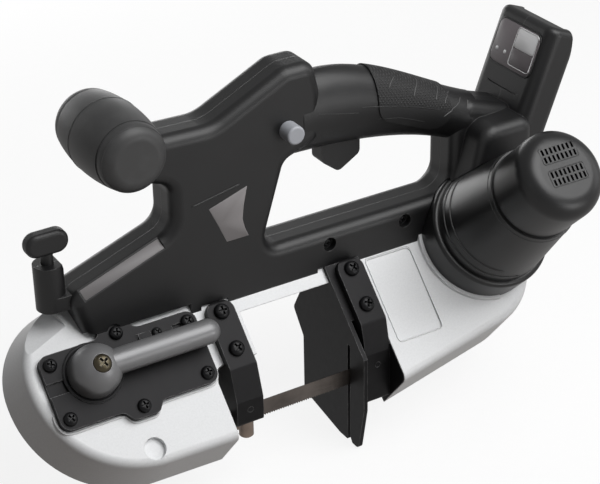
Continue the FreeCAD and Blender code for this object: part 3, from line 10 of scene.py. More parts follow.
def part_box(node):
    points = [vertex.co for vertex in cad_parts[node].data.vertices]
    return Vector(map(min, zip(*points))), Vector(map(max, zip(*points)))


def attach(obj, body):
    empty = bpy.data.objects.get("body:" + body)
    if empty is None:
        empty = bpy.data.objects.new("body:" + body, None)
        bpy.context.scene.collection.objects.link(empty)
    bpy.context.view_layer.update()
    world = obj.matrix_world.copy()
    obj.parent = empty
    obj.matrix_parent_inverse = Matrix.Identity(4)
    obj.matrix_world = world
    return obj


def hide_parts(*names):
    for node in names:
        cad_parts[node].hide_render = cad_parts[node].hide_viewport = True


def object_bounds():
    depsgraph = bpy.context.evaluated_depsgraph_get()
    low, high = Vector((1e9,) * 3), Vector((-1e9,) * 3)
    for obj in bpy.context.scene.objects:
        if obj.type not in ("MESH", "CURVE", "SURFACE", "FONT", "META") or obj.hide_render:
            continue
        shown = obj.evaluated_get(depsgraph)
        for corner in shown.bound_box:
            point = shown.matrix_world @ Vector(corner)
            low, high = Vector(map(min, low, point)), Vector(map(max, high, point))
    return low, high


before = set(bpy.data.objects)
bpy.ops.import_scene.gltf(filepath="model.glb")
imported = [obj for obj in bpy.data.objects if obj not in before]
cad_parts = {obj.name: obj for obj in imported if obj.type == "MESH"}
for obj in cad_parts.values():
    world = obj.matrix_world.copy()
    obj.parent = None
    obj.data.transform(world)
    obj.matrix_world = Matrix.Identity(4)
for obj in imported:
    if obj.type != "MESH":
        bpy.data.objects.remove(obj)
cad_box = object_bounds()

bl_info = {
    "name": "Portable band saw",
    "version": (1, 0, 0),
    "blender": (4, 5, 0),
    "location": "3D View > Sidebar > Band saw",
    "description": "Finishes and fine pieces of a cordless portable band saw, around its CAD model",
    "category": "Object",
}

MM = 0.001
SLANT = math.sqrt(0.5)
ROOT_BODY = "saw"

# Places on the tilted deck, in millimetres along, across and over it.
ORIGIN_RISE = 38.0
DECK_TOP = 27.0
PLATE_TOP = 32.0
LEVER_TOP = 53.4
AXLE_END = -11.0
AXIS = 50.55
IDLER = -158.0
DRIVE = 94.0
MOTOR = (123.87, 60.55)
LEVER = (-183.0, 53.05)
SMALL_SCREW = (-132.6, 65.3)
PLATE_SCREWS = [
    (-208, 29.55), (-110, 29.55), (-208, 66.05), (-110, 66.05), (-159, 22.55), (-159, 73.05),
]
GUIDE_SCREWS = [(-85, 38.5, 33), (-85, 65, 33), (15.5, 38.5, 36), (15.5, 65, 36)]

# Places in the saw's own frame, in millimetres.
HANDLE_MID = 48.0
NEAR_WALL = 31.0
RAIL_SCREWS = [(5.0, NEAR_WALL + 4.9, 50.5), (66.5, NEAR_WALL + 4.9, 50.5)]
# The grip's seam in the side view: its height, slope and curve over the length.
GRIP_SEAM = (149.5, -0.036, -0.00199)

# Half of the blade's width and of its thickness, in millimetres.
BLADE_HALF = 6.35
BLADE_SKIN = 0.25

# Lamps: place from the saw's middle and size, in metres, and the property that holds the power.
LAMPS = {
    "key_lamp": ((0.4, -0.62, 1.15), (1.1, 1.1), "key_power"),
    "back_lamp": ((0.1, 1.2, 0.14), (1.2, 0.45), "back_power"),
    "side_lamp": ((1.2, -0.35, 0.5), (0.5, 0.9), "side_power"),
    "front_card": ((0.5, -1.05, 0.08), (0.5, 0.35), "card_power"),
    "left_card": ((-1.0, -0.5, 0.5), (0.3, 0.6), "left_power"),
}
SENSOR = 36.0
FLOOR_GAP = 0.5 * MM
# Shares of plain white that the eye meets straight on, and by way of gloss or glass.
FLOOR_SHARES = (0.86, 0.5)
SKY_SHARES = (1.0, 0.3)

# Sockets that a Mix node uses for colours, and the rays that a Bevel node sends out.
MIX_FACTOR, MIX_FIRST, MIX_SECOND, MIX_RESULT = 0, 6, 7, 2
BEVEL_SAMPLES = 4

# Pieces of the CAD model, by the finish that they carry.
NODES = {
    "silver_paint": ["frame"],
    "black_plastic": ["housing_near", "housing_far"],
    "bulb_rubber": ["front_grip", "front_grip_caps"],
    "grip_rubber": ["grip_inlay"],
    "case_paint": ["gear_case", "motor_housing", "motor_end_cap"],
    "black_steel": ["tension_plate", "front_guide_arm", "rear_guide_arm", "work_stop"],
    "screw_steel": [
        "tension_plate_screws", "guide_screws", "lever_screw", "front_roller_pins",
        "rear_roller_pins",
    ],
    "lever_paint": ["tension_lever"],
    "button_grey": ["lock_button"],
    "knob_plastic": ["thumb_knob", "trigger"],
    "blade_steel": ["blade"],
    "wheel_alloy": ["drive_wheel", "idler_wheel", "tension_slide"],
    "tyre_rubber": ["drive_tyre", "idler_tyre"],
    "machined_steel": [
        "drive_bearing", "idler_bearing", "drive_axle", "idler_axle", "drive_ring_gear",
        "output_pinion", "lever_cam", "motor_rotor",
        *(f"front_{side}_roller" for side in ("near", "far", "thrust")),
        *(f"rear_{side}_roller" for side in ("near", "far", "thrust")),
    ],
    "drive_unit": ["reduction_gearbox", "motor_stator"],
    "panel_plastic": ["display_panel"],
    "inner_plastic": ["terminal_block", "switch_unit"],
}


class Wire:
    """One output in a material's nodes. Arithmetic on wires adds Math nodes to it."""

    def __init__(self, tree, socket):
        self.tree = tree
        self.socket = socket

    def math(self, operation, first, second):
        return self.tree.add("ShaderNodeMath", {"operation": operation}, {0: first, 1: second})

    def __add__(self, other):
        return self.math("ADD", self, other)

    __radd__ = __add__

    def __sub__(self, other):
        return self.math("SUBTRACT", self, other)

    def __rsub__(self, other):
        return self.math("SUBTRACT", other, self)

    def __mul__(self, other):
        return self.math("MULTIPLY", self, other)

    __rmul__ = __mul__

    def __truediv__(self, other):
        return self.math("DIVIDE", self, other)

    def __rtruediv__(self, other):
        return self.math("DIVIDE", other, self)

    def smallest(self, other):
        return self.math("MINIMUM", self, other)

    def between(self, low, high):
        """The wire stretched so that low gives 0 and high gives 1, and cut off outside."""
        sockets = {"Value": self, "From Min": low, "From Max": high}
        return self.tree.add("ShaderNodeMapRange", {"clamp": True}, sockets)


class Finish:
    """The nodes of a material, or of another owner of nodes, under construction."""

    # Finishes by name: the frame's own plain materials have some of these names too.
    made = {}

    def __init__(self, name, owner=None):
        self.material = owner or bpy.data.materials.new(name)
        self.made[name] = self.material
        self.material.use_nodes = True
        self.nodes = self.material.node_tree.nodes
        self.links = self.material.node_tree.links
        self.nodes.clear()

    def add(self, kind, settings=None, sockets=None, out=0):
        """A node of this kind, with its settings, then its values and links, as a wire."""
        node = self.nodes.new(kind)
        for name, value in (settings or {}).items():
            setattr(node, name, value)
        for name, value in (sockets or {}).items():
            if isinstance(value, Wire):
                self.links.new(value.socket, node.inputs[name])
            else:
                node.inputs[name].default_value = value
        return Wire(self, node.outputs[out]) if len(node.outputs) else None

    def place(self):
        """The point of the surface, in metres, in the piece's own frame."""
        return self.add("ShaderNodeTexCoord", out="Object")

    def stretched(self, scale):
        return self.add("ShaderNodeMapping", sockets={"Vector": self.place(), "Scale": scale})

    def noise(self, per_metre, detail=3.0, rough=0.55, vector=None):
        """Cloudy noise with so many grains to the metre."""
        sockets = {"Scale": per_metre, "Detail": detail, "Roughness": rough}
        sockets["Vector"] = vector or self.place()
        return self.add("ShaderNodeTexNoise", sockets=sockets)

    def cells(self, per_metre):
        sockets = {"Vector": self.place(), "Scale": per_metre}
        return self.add("ShaderNodeTexVoronoi", sockets=sockets, out="Distance")

    def blend(self, factor, first, second):
        sockets = {MIX_FACTOR: factor, MIX_FIRST: first, MIX_SECOND: second}
        return self.add("ShaderNodeMix", {"data_type": "RGBA"}, sockets, MIX_RESULT)

    def dot(self, first, second):
        sockets = {0: first, 1: second}
        return self.add("ShaderNodeVectorMath", {"operation": "DOT_PRODUCT"}, sockets, "Value")

    def rounded(self, radius):
        """The surface's direction, with edges rounded off by this radius."""
        return self.add("ShaderNodeBevel", {"samples": BEVEL_SAMPLES}, {"Radius": radius})

    def edge(self, radius):
        """How far the surface bends within this radius: 0 on a flat or a soft curve."""
        return 1.0 - self.dot(self.rounded(radius), self.add("ShaderNodeNewGeometry", out="Normal"))

    def bump(self, height, depth, strength, normal=None):
        sockets = {"Height": height, "Distance": depth, "Strength": strength}
        if normal is not None:
            sockets["Normal"] = normal
        return self.add("ShaderNodeBump", sockets=sockets)

    def surface(self, **sockets):
        """The closing shader. Underscores in a name stand for the spaces of its socket."""
        named = {name.replace("_", " "): value for name, value in sockets.items()}
        shader = self.add("ShaderNodeBsdfPrincipled", sockets=named)
        self.add("ShaderNodeOutputMaterial", sockets={"Surface": shader})

    def ray(self, name):
        return self.add("ShaderNodeLightPath", out=name)

    def shown_white(self, lit, white, shares):
        """A lit shader and a white one, mixed by what the eye meets straight on and by gloss."""
        straight, mirrored = shares
        by_gloss = (self.ray("Is Glossy Ray") + self.ray("Is Transmission Ray")).smallest(1.0)
        share = (self.ray("Is Camera Ray") * straight + by_gloss * mirrored).smallest(1.0)
        return self.add("ShaderNodeMixShader", sockets={0: share, 1: lit, 2: white})


def lighter(colour, share):
    """A colour moved towards white by a share."""
    return tuple(part + (1.0 - part) * share for part in colour[:3]) + (1.0,)


def darker(colour, share):
    return tuple(part * (1.0 - share) for part in colour[:3]) + (1.0,)


def silver_paint(colour):
    finish = Finish("silver_paint")
    flake = finish.noise(2600.0, detail=2.0, rough=0.6)
    speckle = finish.noise(750.0, detail=3.0, rough=0.7)
    cloud = finish.noise(22.0, detail=4.0)
    worn = finish.edge(1.2 * MM).between(0.02, 0.25)
    base = finish.blend(cloud, darker(colour, 0.06), colour)
    base = finish.blend(speckle.between(0.3, 0.7), darker(colour, 0.1), base)
    base = finish.blend(flake.between(0.55, 0.75) * 0.5, base, lighter(colour, 0.35))
    base = finish.blend(worn * 0.35, base, lighter(colour, 0.4))
    soft = finish.rounded(0.7 * MM)
    finish.surface(
        Base_Color=base, Metallic=0.03, Roughness=0.36 + cloud * 0.1,
        Normal=finish.bump(flake, 0.02 * MM, strength=0.35, normal=soft),
        Specular_IOR_Level=0.35, Coat_Weight=0.1, Coat_Roughness=0.2,
    )


def moulded_plastic(name, colour, roughness, grain_depth=0.05 * MM, soft_edges=True):
    """Black moulded plastic with a spark-eroded grain and edges that have rubbed shinier."""
    finish = Finish(name)
    grain = finish.cells(1500.0)
    cloud = finish.noise(30.0, detail=5.0, rough=0.6)
    base = finish.blend(cloud.between(0.3, 0.75), darker(colour, 0.25), colour)
    rough = roughness + cloud * 0.12
    soft = None
    if soft_edges:
        worn = finish.edge(1.5 * MM).between(0.03, 0.35)
        base = finish.blend(worn * 0.5, base, lighter(colour, 0.06))
        rough = rough - worn * 0.12
        soft = finish.rounded(0.6 * MM)
    finish.surface(
        Base_Color=base, Roughness=rough,
        Normal=finish.bump(grain, grain_depth, strength=0.5, normal=soft),
        Specular_IOR_Level=0.5,
    )


def grip_rubber(name, colour, dot_pitch, dot_depth):
    """Soft black rubber with rows of raised dots over the grip's seam, and plain under it; the
    dots' crests carry a painted highlight.
    """
    finish = Finish(name)
    slant = 2.0 * math.pi / dot_pitch
    waves = []
    for turn in (0.5, -0.95):
        way = (slant * math.cos(turn), 0.0, slant * math.sin(turn))
        along = finish.dot(finish.place(), way)
        waves.append(finish.add("ShaderNodeMath", {"operation": "SINE"}, {0: along}) * 0.5 + 0.5)
    x, z = (
        finish.add("ShaderNodeSeparateXYZ", sockets={"Vector": finish.place()}, out=axis) / MM
        for axis in "XZ"
    )
    height, slope, curve = GRIP_SEAM
    rise = z - (height + x * slope + x * x * curve)
    dots = (waves[0] * waves[1]).between(0.2, 0.75) * rise.between(0.6, 3.0)
    dust = finish.noise(60.0, detail=5.0, rough=0.6)
    # Painted highlight: the dots' crests are painted lighter than the rubber round them, standing
    # in for the sheen on the dots.
    base = finish.blend(dots, darker(colour, 0.35), lighter(colour, 0.03))
    base = finish.blend(dust.between(0.55, 0.8) * 0.4, base, lighter(colour, 0.03))
    finish.surface(
        Base_Color=base, Roughness=0.52 + dust * 0.12 - dots * 0.12,
        Normal=finish.bump(dots, dot_depth, strength=1.0), Specular_IOR_Level=0.5,
    )


def plain_rubber(name, colour):
    finish = Finish(name)
    grain = finish.noise(1800.0, detail=2.0)
    dust = finish.noise(50.0, detail=5.0, rough=0.6)
    base = finish.blend(dust.between(0.45, 0.8) * 0.5, colour, lighter(colour, 0.05))
    finish.surface(
        Base_Color=base, Roughness=0.38 + dust * 0.2,
        Normal=finish.bump(grain, 0.03 * MM, strength=0.5), Specular_IOR_Level=0.5,
    )


def dark_steel(name, colour, roughness, metal=0.7, wear_and_edge_highlight=0.8, gloss=0.5):
    """Blackened steel: a mottled skin, painted brighter along its edges, partly as wear to bare
    metal and partly as a painted highlight.
    """
    finish = Finish(name)
    mottle = finish.noise(160.0, detail=6.0, rough=0.62)
    grain = finish.noise(2200.0, detail=3.0)
    worn = finish.edge(0.8 * MM).between(0.03, 0.3) * mottle.between(0.3, 0.6)
    base = finish.blend(mottle.between(0.3, 0.7), darker(colour, 0.3), colour)
    # Edges painted lighter: partly rubbed wear, partly a painted highlight of the lit edges.
    base = finish.blend(worn * wear_and_edge_highlight, base, lighter(colour, 0.32))
    soft = finish.rounded(0.4 * MM)
    finish.surface(
        Base_Color=base, Metallic=metal, Roughness=roughness + mottle * 0.16 - worn * 0.1,
        Normal=finish.bump(grain, 0.02 * MM, strength=0.45, normal=soft),
        Specular_IOR_Level=gloss,
    )


def grey_paint(name, colour, roughness, metal=0.0):
    """Sprayed paint over a casting, with a faint orange peel."""
    finish = Finish(name)
    peel = finish.noise(700.0, detail=2.0)
    cloud = finish.noise(40.0, detail=4.0)
    worn = finish.edge(1.0 * MM).between(0.03, 0.3)
    base = finish.blend(cloud, darker(colour, 0.12), colour)
    base = finish.blend(worn * 0.5, base, lighter(colour, 0.25))
    soft = finish.rounded(0.5 * MM)
    finish.surface(
        Base_Color=base, Metallic=metal, Roughness=roughness + cloud * 0.1,
        Normal=finish.bump(peel, 0.05 * MM, strength=0.4, normal=soft),
    )


def blade_steel(colour):
    """Spring steel, drawn lengthwise, with a brown heat tint in patches."""
    finish = Finish("blade_steel")
    drawn = finish.stretched((90.0, 2500.0, 2500.0))
    lines = finish.noise(1.0, detail=3.0, rough=0.6, vector=drawn)
    heat = finish.noise(35.0, detail=4.0)
    base = finish.blend(heat.between(0.35, 0.7), colour, darker(colour, 0.45))
    base = finish.blend(lines.between(0.55, 0.8) * 0.5, base, lighter(colour, 0.06))
    finish.surface(
        Base_Color=base, Metallic=0.9, Roughness=0.3 + lines * 0.2,
        Normal=finish.bump(lines, 0.01 * MM, strength=0.4),
    )


def bright_metal(name, colour, roughness):
    """Turned or cast metal, left bare."""
    finish = Finish(name)
    grain = finish.noise(900.0, detail=4.0)
    stain = finish.noise(60.0, detail=4.0)
    base = finish.blend(stain.between(0.4, 0.8), colour, darker(colour, 0.35))
    finish.surface(
        Base_Color=base, Metallic=0.95, Roughness=roughness + stain * 0.15,
        Normal=finish.bump(grain, 0.01 * MM, strength=0.4),
    )


def floor_white(colour, bounce):
    """A floor that is white to the eye and keeps a soft shadow; its bounce is dim."""
    finish = Finish("floor_white")
    paper = finish.noise(120.0, detail=3.0)
    tone = finish.blend(paper, darker(colour, 0.01), colour)
    thrown = finish.blend(finish.ray("Is Camera Ray"), bounce, tone)
    lit = finish.add("ShaderNodeBsdfDiffuse", sockets={"Color": thrown})
    glow = finish.add("ShaderNodeEmission", sockets={"Color": tone, "Strength": 1.0})
    mixed = finish.shown_white(lit, glow, FLOOR_SHARES)
    finish.add("ShaderNodeOutputMaterial", sockets={"Surface": mixed})


def as_object(name, work):
    """A mesh object from a filled bmesh."""
    mesh = bpy.data.meshes.new(name)
    work.to_mesh(mesh)
    work.free()
    made = bpy.data.objects.new(name, mesh)
    bpy.context.scene.collection.objects.link(made)
    return made


def new_piece(name, work, finish, body=ROOT_BODY, stands_for=(), sharp=0.6):
    """A piece from a filled bmesh, riding on a body; edges that bend more than sharp stay sharp."""
    bmesh.ops.recalc_face_normals(work, faces=work.faces)
    for edge in work.edges:
        edge.smooth = len(edge.link_faces) == 2 and edge.calc_face_angle() < sharp
    for face in work.faces:
        face.smooth = True
    piece = as_object(name, work)
    piece.data.materials.append(Finish.made[finish])
    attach(piece, body)
    if stands_for:
        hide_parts(*stands_for)


def filled(draw, *shape, **more):
    """A bmesh with one shape drawn in it."""
    work = bmesh.new()
    draw(work, *shape, **more)
    return work


def deck(u, v, w):
    """A point given along, across and over the tilted deck, in millimetres."""
    return Vector((u, (v - w) * SLANT, (v + w) * SLANT - ORIGIN_RISE)) * MM


def deck_way(u, v, w):
    """A step along, across and over the tilted deck, in millimetres."""
    return deck(u, v, w) - deck(0, 0, 0)


def drawing_frame(point, *rows):
    """A frame at a point, turned by the rows of a matrix, for drawing in millimetres."""
    return Matrix.Translation(point) @ Matrix(rows).to_4x4() @ Matrix.Scale(MM, 4)


def deck_frame(u, v, w):
    """The deck's directions at a point of it."""
    return drawing_frame(deck(u, v, w), (1, 0, 0), (0, SLANT, -SLANT), (0, SLANT, SLANT))


def side_frame(x, y, z):
    """Directions at a point of the near side: right, up and out of the wall."""
    return drawing_frame(Vector((x, y, z)) * MM, (1, 0, 0), (0, 0, -1), (0, 1, 0))


def join_rings(work, rings):
    """Faces from each ring of points to the next; a ring of one point gives triangles."""
    for low, high in zip(rings, rings[1:]):
        count = max(len(low), len(high))
        for index in range(count):
            after = (index + 1) % count
            corners = [low[index % len(low)], low[after % len(low)],
                       high[after % len(high)], high[index % len(high)]]
            work.faces.new(dict.fromkeys(corners))


def full_turn(count):
    return [2 * math.pi * index / count for index in range(count)]


def lathe(work, profile, place, steps=32, closed=False):
    """Faces turned round an axis from (radius, height) pairs; a radius of zero ends on the axis."""
    rings = []
    for radius, height in profile:
        turns = full_turn(steps if radius else 1)
        rings.append([
            work.verts.new(place @ Vector((radius * math.cos(t), radius * math.sin(t), height)))
            for t in turns
        ])
    join_rings(work, rings + rings[:1] if closed else rings)


def stack(work, layers, place):
    """A closed block from outlines at rising heights."""
    rings = [
        [work.verts.new(place @ Vector((x, y, height))) for x, y in outline]
        for outline, height in layers
    ]
    work.faces.new(reversed(rings[0]))
    work.faces.new(rings[-1])
    join_rings(work, rings)


def prism(work, outline, low, high, place, share=1.0):
    """A closed block between two heights; its lower outline is drawn in by a share."""
    drawn_in = [(x * share, y * share) for x, y in outline]
    stack(work, [(drawn_in, low), (outline, high)], place)


def loop(outline, height, place):
    """The points of a closed outline at a height of a drawing frame."""
    return [place @ Vector((x, y, height)) for x, y in outline + outline[:1]]


def chamfered(work, outline, low, high, place, chamfer):
    """A closed block whose upper edges are taken off all round."""
    middle = Vector((sum(x for x, _ in outline), sum(y for _, y in outline))) / len(outline)
    drawn_in = []
    for corner in outline:
        away = Vector(corner) - middle
        drawn_in.append(tuple(middle + away * (1.0 - chamfer / away.length)))
    stack(work, [(outline, low), (outline, high - chamfer * 0.5), (drawn_in, high)], place)


def round_box(wide, high, corner, middle=(0.0, 0.0), steps=5):
    """The outline of a rectangle with round corners."""
    outline = []
    for quarter, (side_x, side_y) in enumerate(((1, 1), (-1, 1), (-1, -1), (1, -1))):
        for step in range(steps + 1):
            turn = math.pi / 2 * (quarter + step / steps)
            outline.append((middle[0] + side_x * (wide / 2 - corner) + corner * math.cos(turn),
                            middle[1] + side_y * (high / 2 - corner) + corner * math.sin(turn)))
    return outline


def bead(work, points, radius, out, sides=8, end_share=0.15):
    """A thin round ridge along a line of points, drawn in to a share of itself at both ends."""
    last = len(points) - 1
    rings = []
    for index, point in enumerate(points):
        along = (points[min(index + 1, last)] - points[max(index - 1, 0)]).normalized()
        side = along.cross(out).normalized()
        top = side.cross(along)
        size = radius * (end_share if index in (0, last) else 1.0)
        rings.append([
            work.verts.new(point + (side * math.cos(t) + top * math.sin(t)) * size)
            for t in full_turn(sides)
        ])
    join_rings(work, rings)
    work.faces.new(rings[0])
    work.faces.new(reversed(rings[-1]))


def even_line(corners, count):
    """Points spread evenly along a smooth line through the corners."""
    points = []
    spans = len(corners) - 1
    for index in range(count):
        place = index * spans / (count - 1)
        span = min(int(place), spans - 1)
        share = place - span
        around = [corners[min(max(span + step, 0), spans)] for step in (-1, 0, 1, 2)]
        points.append(tuple(
            0.5 * (2 * b + (c - a) * share + (2 * a - 5 * b + 4 * c - d) * share ** 2
                   + (3 * b - a - 3 * c + d) * share ** 3)
            for a, b, c, d in zip(*around)))
    return points


class Surface:
    """The outer skin of some CAD nodes, for laying fine pieces on it."""

    # A place in metres that is well off the near side.
    near = -0.3

    def __init__(self, *names):
        points, faces = [], []
        for name in names:
            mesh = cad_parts[name].data
            start = len(points)
            points += [vertex.co.copy() for vertex in mesh.vertices]
            faces += [[start + index for index in polygon.vertices] for polygon in mesh.polygons]
        self.tree = BVHTree.FromPolygons(points, faces)

    def hit(self, start, way):
        """The first point of the skin from a start, looking one way."""
        point = self.tree.ray_cast(Vector(start), Vector(way).normalized())[0]
        if point is None:
            raise RuntimeError("No surface under a fine piece at " + str(tuple(start)))
        return point

    def from_near(self, line):
        """A line given by x and z, in millimetres, laid on the skin from the near side."""
        return [self.hit((x * MM, self.near, z * MM), (0, 1, 0)) for x, z in line]

    def ring(self, middle, ways, outside):
        """A line round a middle point, laid on the skin from outside."""
        return [self.hit(middle + way * outside, -way) for way in ways]


def cut_out(blank, tool):
    """The blank with the tool cut out of it, as a mesh."""
    things = []
    for name, work in (("blank", blank), ("tool", tool)):
        bmesh.ops.recalc_face_normals(work, faces=work.faces)
        things.append(as_object(name, work))
    cut = things[0].modifiers.new("cut", "BOOLEAN")
    cut.operation = "DIFFERENCE"
    cut.solver = "EXACT"
    cut.object = things[1]
    graph = bpy.context.evaluated_depsgraph_get()
    result = bpy.data.meshes.new_from_object(things[0].evaluated_get(graph))
    for thing in things:
        bpy.data.objects.remove(thing)
    return result


def cross_screw(radius, rise, shank_radius, shank):
    """A pan-head screw with a cross recess, standing on its seat, in millimetres."""
    dome = [(1.0, 0.12), (0.985, 0.36), (0.93, 0.58), (0.82, 0.77), (0.64, 0.91), (0.4, 0.985)]
    profile = [
        (0, -shank), (shank_radius, -shank), (shank_radius, 0), (radius * 0.97, 0),
        *((radius * share, rise * height) for share, height in dome), (0, rise),
    ]
    arm, half, floor, taper = radius * 0.6, radius * 0.14, rise * 0.25, 0.75
    corners = [(arm, -half), (arm, half), (half, half)]
    recess = []
    for _ in range(4):
        recess += corners
        corners = [(-y, x) for x, y in corners]
    blank = filled(lathe, profile, Matrix())
    return cut_out(blank, filled(prism, recess, floor, rise * 1.2, Matrix(), taper))


def tint(name, description, *parts):
    """A property for the colour of a finish."""
    return FloatVectorProperty(
        name=name, description=description, subtype="COLOR", size=4, min=0, max=1,
        default=(*parts, 1),
    )


def length(name, description, size, least=0.0):
    """A property for a length, with its default and its least value in millimetres."""
    return FloatProperty(
        name=name, description=description, unit="LENGTH", min=least * MM, default=size * MM,
    )


def power(name, description, watts):
    """A property for the power of a lamp."""
    return FloatProperty(name=name, description=description, subtype="POWER", default=watts)


class SawColours(bpy.types.PropertyGroup):
    """Colours of the saw's finishes."""

    silver: tint("Deck silver", "Paint of the deck casting", 0.80, 0.81, 0.82)
    housing: tint("Housing black", "Moulded plastic of the handle's halves", 0.0085, 0.0085, 0.009)
    rubber: tint("Grip rubber", "Soft rubber on both grips", 0.0105, 0.0105, 0.011)
    case: tint("Gear case black", "Gear case, motor housing and end cap", 0.0075, 0.0075, 0.008)
    steel: tint("Black steel", "Tension plate, guide arms and work stop", 0.0115, 0.0112, 0.012)
    screw: tint("Screw black", "Blackened screws", 0.009, 0.009, 0.010)
    lever: tint("Lever grey", "Paint of the tension lever", 0.22, 0.22, 0.225)
    button: tint("Button grey", "Lock-off button", 0.44, 0.455, 0.49)
    blade: tint("Blade steel", "Spring steel of the blade", 0.180, 0.157, 0.142)
    alloy: tint("Wheel alloy", "Cast alloy of the wheels and the tension slide", 0.55, 0.56, 0.57)
    machined: tint("Machined steel", "Shafts, gears, bearings and rollers", 0.42, 0.42, 0.43)
    panel: tint("Panel grey", "Display panel on the battery head", 0.190, 0.168, 0.178)
    roller: tint("Roller steel", "Guide rollers, tinted by heat", 0.30, 0.24, 0.20)
    lever_screw: tint("Lever screw", "Screw in the lever's hub", 0.10, 0.085, 0.055)
    window: tint("Window grey", "Blank window of the display", 0.90, 0.90, 0.91)
    terminal: tint("Terminal metal", "Plated blades of the battery terminals", 0.55, 0.50, 0.42)
    # Painted highlight: this grey stands in for the light that the strut's facet catches; a darker
    # share of it does the same for the base's bevel strip.
    strut: tint("Strut facet highlight", "Flat plate let into the front strut", 0.285, 0.270, 0.273)
    floor: tint("Floor white", "Floor of the studio", 1.0, 1.0, 1.0)
    floor_bounce: tint(
        "Floor bounce", "Tone of the light that the floor throws back", 0.11, 0.088, 0.074,
    )


class SawSizes(bpy.types.PropertyGroup):
    """Sizes of the fine pieces."""

    dot_pitch: length("Dot pitch", "Distance between the rows of dots on the grip", 2.1, least=0.5)
    dot_depth: length("Dot depth", "Height of the dots on the grip", 0.6)
    grip_rib: length("Grip rib", "Radius of the curved ribs on the grip", 0.45)
    seam: length("Seam", "Radius of the raised seams on the mouldings", 0.3)
    motor_ring: length("Motor ring", "Radius of the ridges round the motor", 0.7)
    plate_bead: length("Plate bead", "Radius of the deck's bead round the tension plate", 0.9)
    plate_screw: length("Plate screw", "Head radius of the tension plate's screws", 4.6, least=2)
    guide_screw: length("Guide screw", "Head radius of the guides' screws", 5.4, least=2)
    lever_screw: length("Lever screw", "Head radius of the lever's screw", 6.1, least=2)
    tooth_pitch: length("Tooth pitch", "Distance from tooth to tooth of the blade", 1.8, least=0.5)
    tooth_depth: length("Tooth depth", "Depth of the blade's teeth", 1.0)
    tooth_set: length("Tooth set", "How far the teeth lean out to both sides", 0.12)
    roller_chamfer: length("Roller chamfer", "Chamfer at the guide rollers' ends", 0.9)


class SawStage(bpy.types.PropertyGroup):
    """Camera, floor and lamps."""

    camera_place: FloatVectorProperty(
        name="Camera place", description="Where the camera stands",
        subtype="TRANSLATION", unit="LENGTH", default=(-0.5734, -0.8999, 0.6655),
    )
    camera_right: FloatVectorProperty(
        name="Camera right", description="Direction to the right of the picture",
        subtype="DIRECTION", default=(0.854, -0.520, -0.017),
    )
    camera_up: FloatVectorProperty(
        name="Camera up", description="Direction to the top of the picture",
        subtype="DIRECTION", default=(0.267, 0.409, 0.873),
    )
    lens: FloatProperty(
        name="Lens", description="Focal length, on a 36 mm sensor",
        unit="CAMERA", min=10, default=111.0,
    )
    floor_size: FloatProperty(
        name="Floor size", description="Side of the floor", unit="LENGTH", min=1, default=14.0,
    )
    key_power: power("Key lamp", "Power of the large lamp over the front", 17.5)
    back_power: power("Back lamp", "Power of the strip behind the saw", 5.0)
    side_power: power("Side lamp", "Power of the lamp at the saw's rear end", 2.0)
    card_power: power("Front card", "Power of the low card in front of the saw", 2.5)
    left_power: power("Left card", "Power of the narrow card at the saw's front end", 0.15)
    sky: FloatProperty(
        name="Sky", description="Level of the even light from all round", min=0, default=0.11,
    )


class SAW_OT_stage(bpy.types.Operator):
    """Set up the camera, the floor, the lamps and the white surround"""

    bl_idname = "saw.stage"
    bl_label = "Stage"

    def execute(self, context):
        self.set_camera(context.scene)
        self.lay_floor(context.scene)
        self.hang_lamps(context.scene)
        self.set_world(context.scene)
        context.scene.view_settings.view_transform = "Standard"
        return {"FINISHED"}

    def set_camera(self, scene):
        stage = scene.saw_stage
        right = Vector(stage.camera_right).normalized()
        back = right.cross(Vector(stage.camera_up)).normalized()
        up = back.cross(right)
        camera = bpy.data.objects.new("camera", bpy.data.cameras.new("camera"))
        camera.data.sensor_width = SENSOR
        camera.data.lens = stage.lens
        turn = Matrix((right, up, back)).transposed().to_4x4()
        camera.matrix_world = Matrix.Translation(stage.camera_place) @ turn
        scene.collection.objects.link(camera)
        scene.camera = camera

    def lay_floor(self, scene):
        work = bmesh.new()
        half = scene.saw_stage.floor_size / 2
        bmesh.ops.create_grid(work, x_segments=8, y_segments=8, size=half)
        floor = as_object("floor", work)
        floor.location = (0.0, 0.0, cad_box[0].z - FLOOR_GAP)
        floor_white(tuple(scene.saw_colours.floor), tuple(scene.saw_colours.floor_bounce))
        floor.data.materials.append(Finish.made["floor_white"])

    def hang_lamps(self, scene):
        middle = (cad_box[0] + cad_box[1]) / 2
        for name, (offset, (wide, high), level) in LAMPS.items():
            data = bpy.data.lights.new(name, "AREA")
            data.shape = "RECTANGLE"
            data.size = wide
            data.size_y = high
            data.energy = getattr(scene.saw_stage, level)
            lamp = bpy.data.objects.new(name, data)
            lamp.location = middle + Vector(offset)
            lamp.rotation_mode = "QUATERNION"
            lamp.rotation_quaternion = (-Vector(offset)).to_track_quat("-Z", "Y")
            scene.collection.objects.link(lamp)

    def set_world(self, scene):
        world = bpy.data.worlds.new("surround")
        surround = Finish("surround", world)
        even, white = (
            surround.add("ShaderNodeBackground", sockets={"Color": (1, 1, 1, 1), "Strength": level})
            for level in (scene.saw_stage.sky, 1.0)
        )
        mixed = surround.shown_white(even, white, SKY_SHARES)
        surround.add("ShaderNodeOutputWorld", sockets={"Surface": mixed})
        scene.world = world


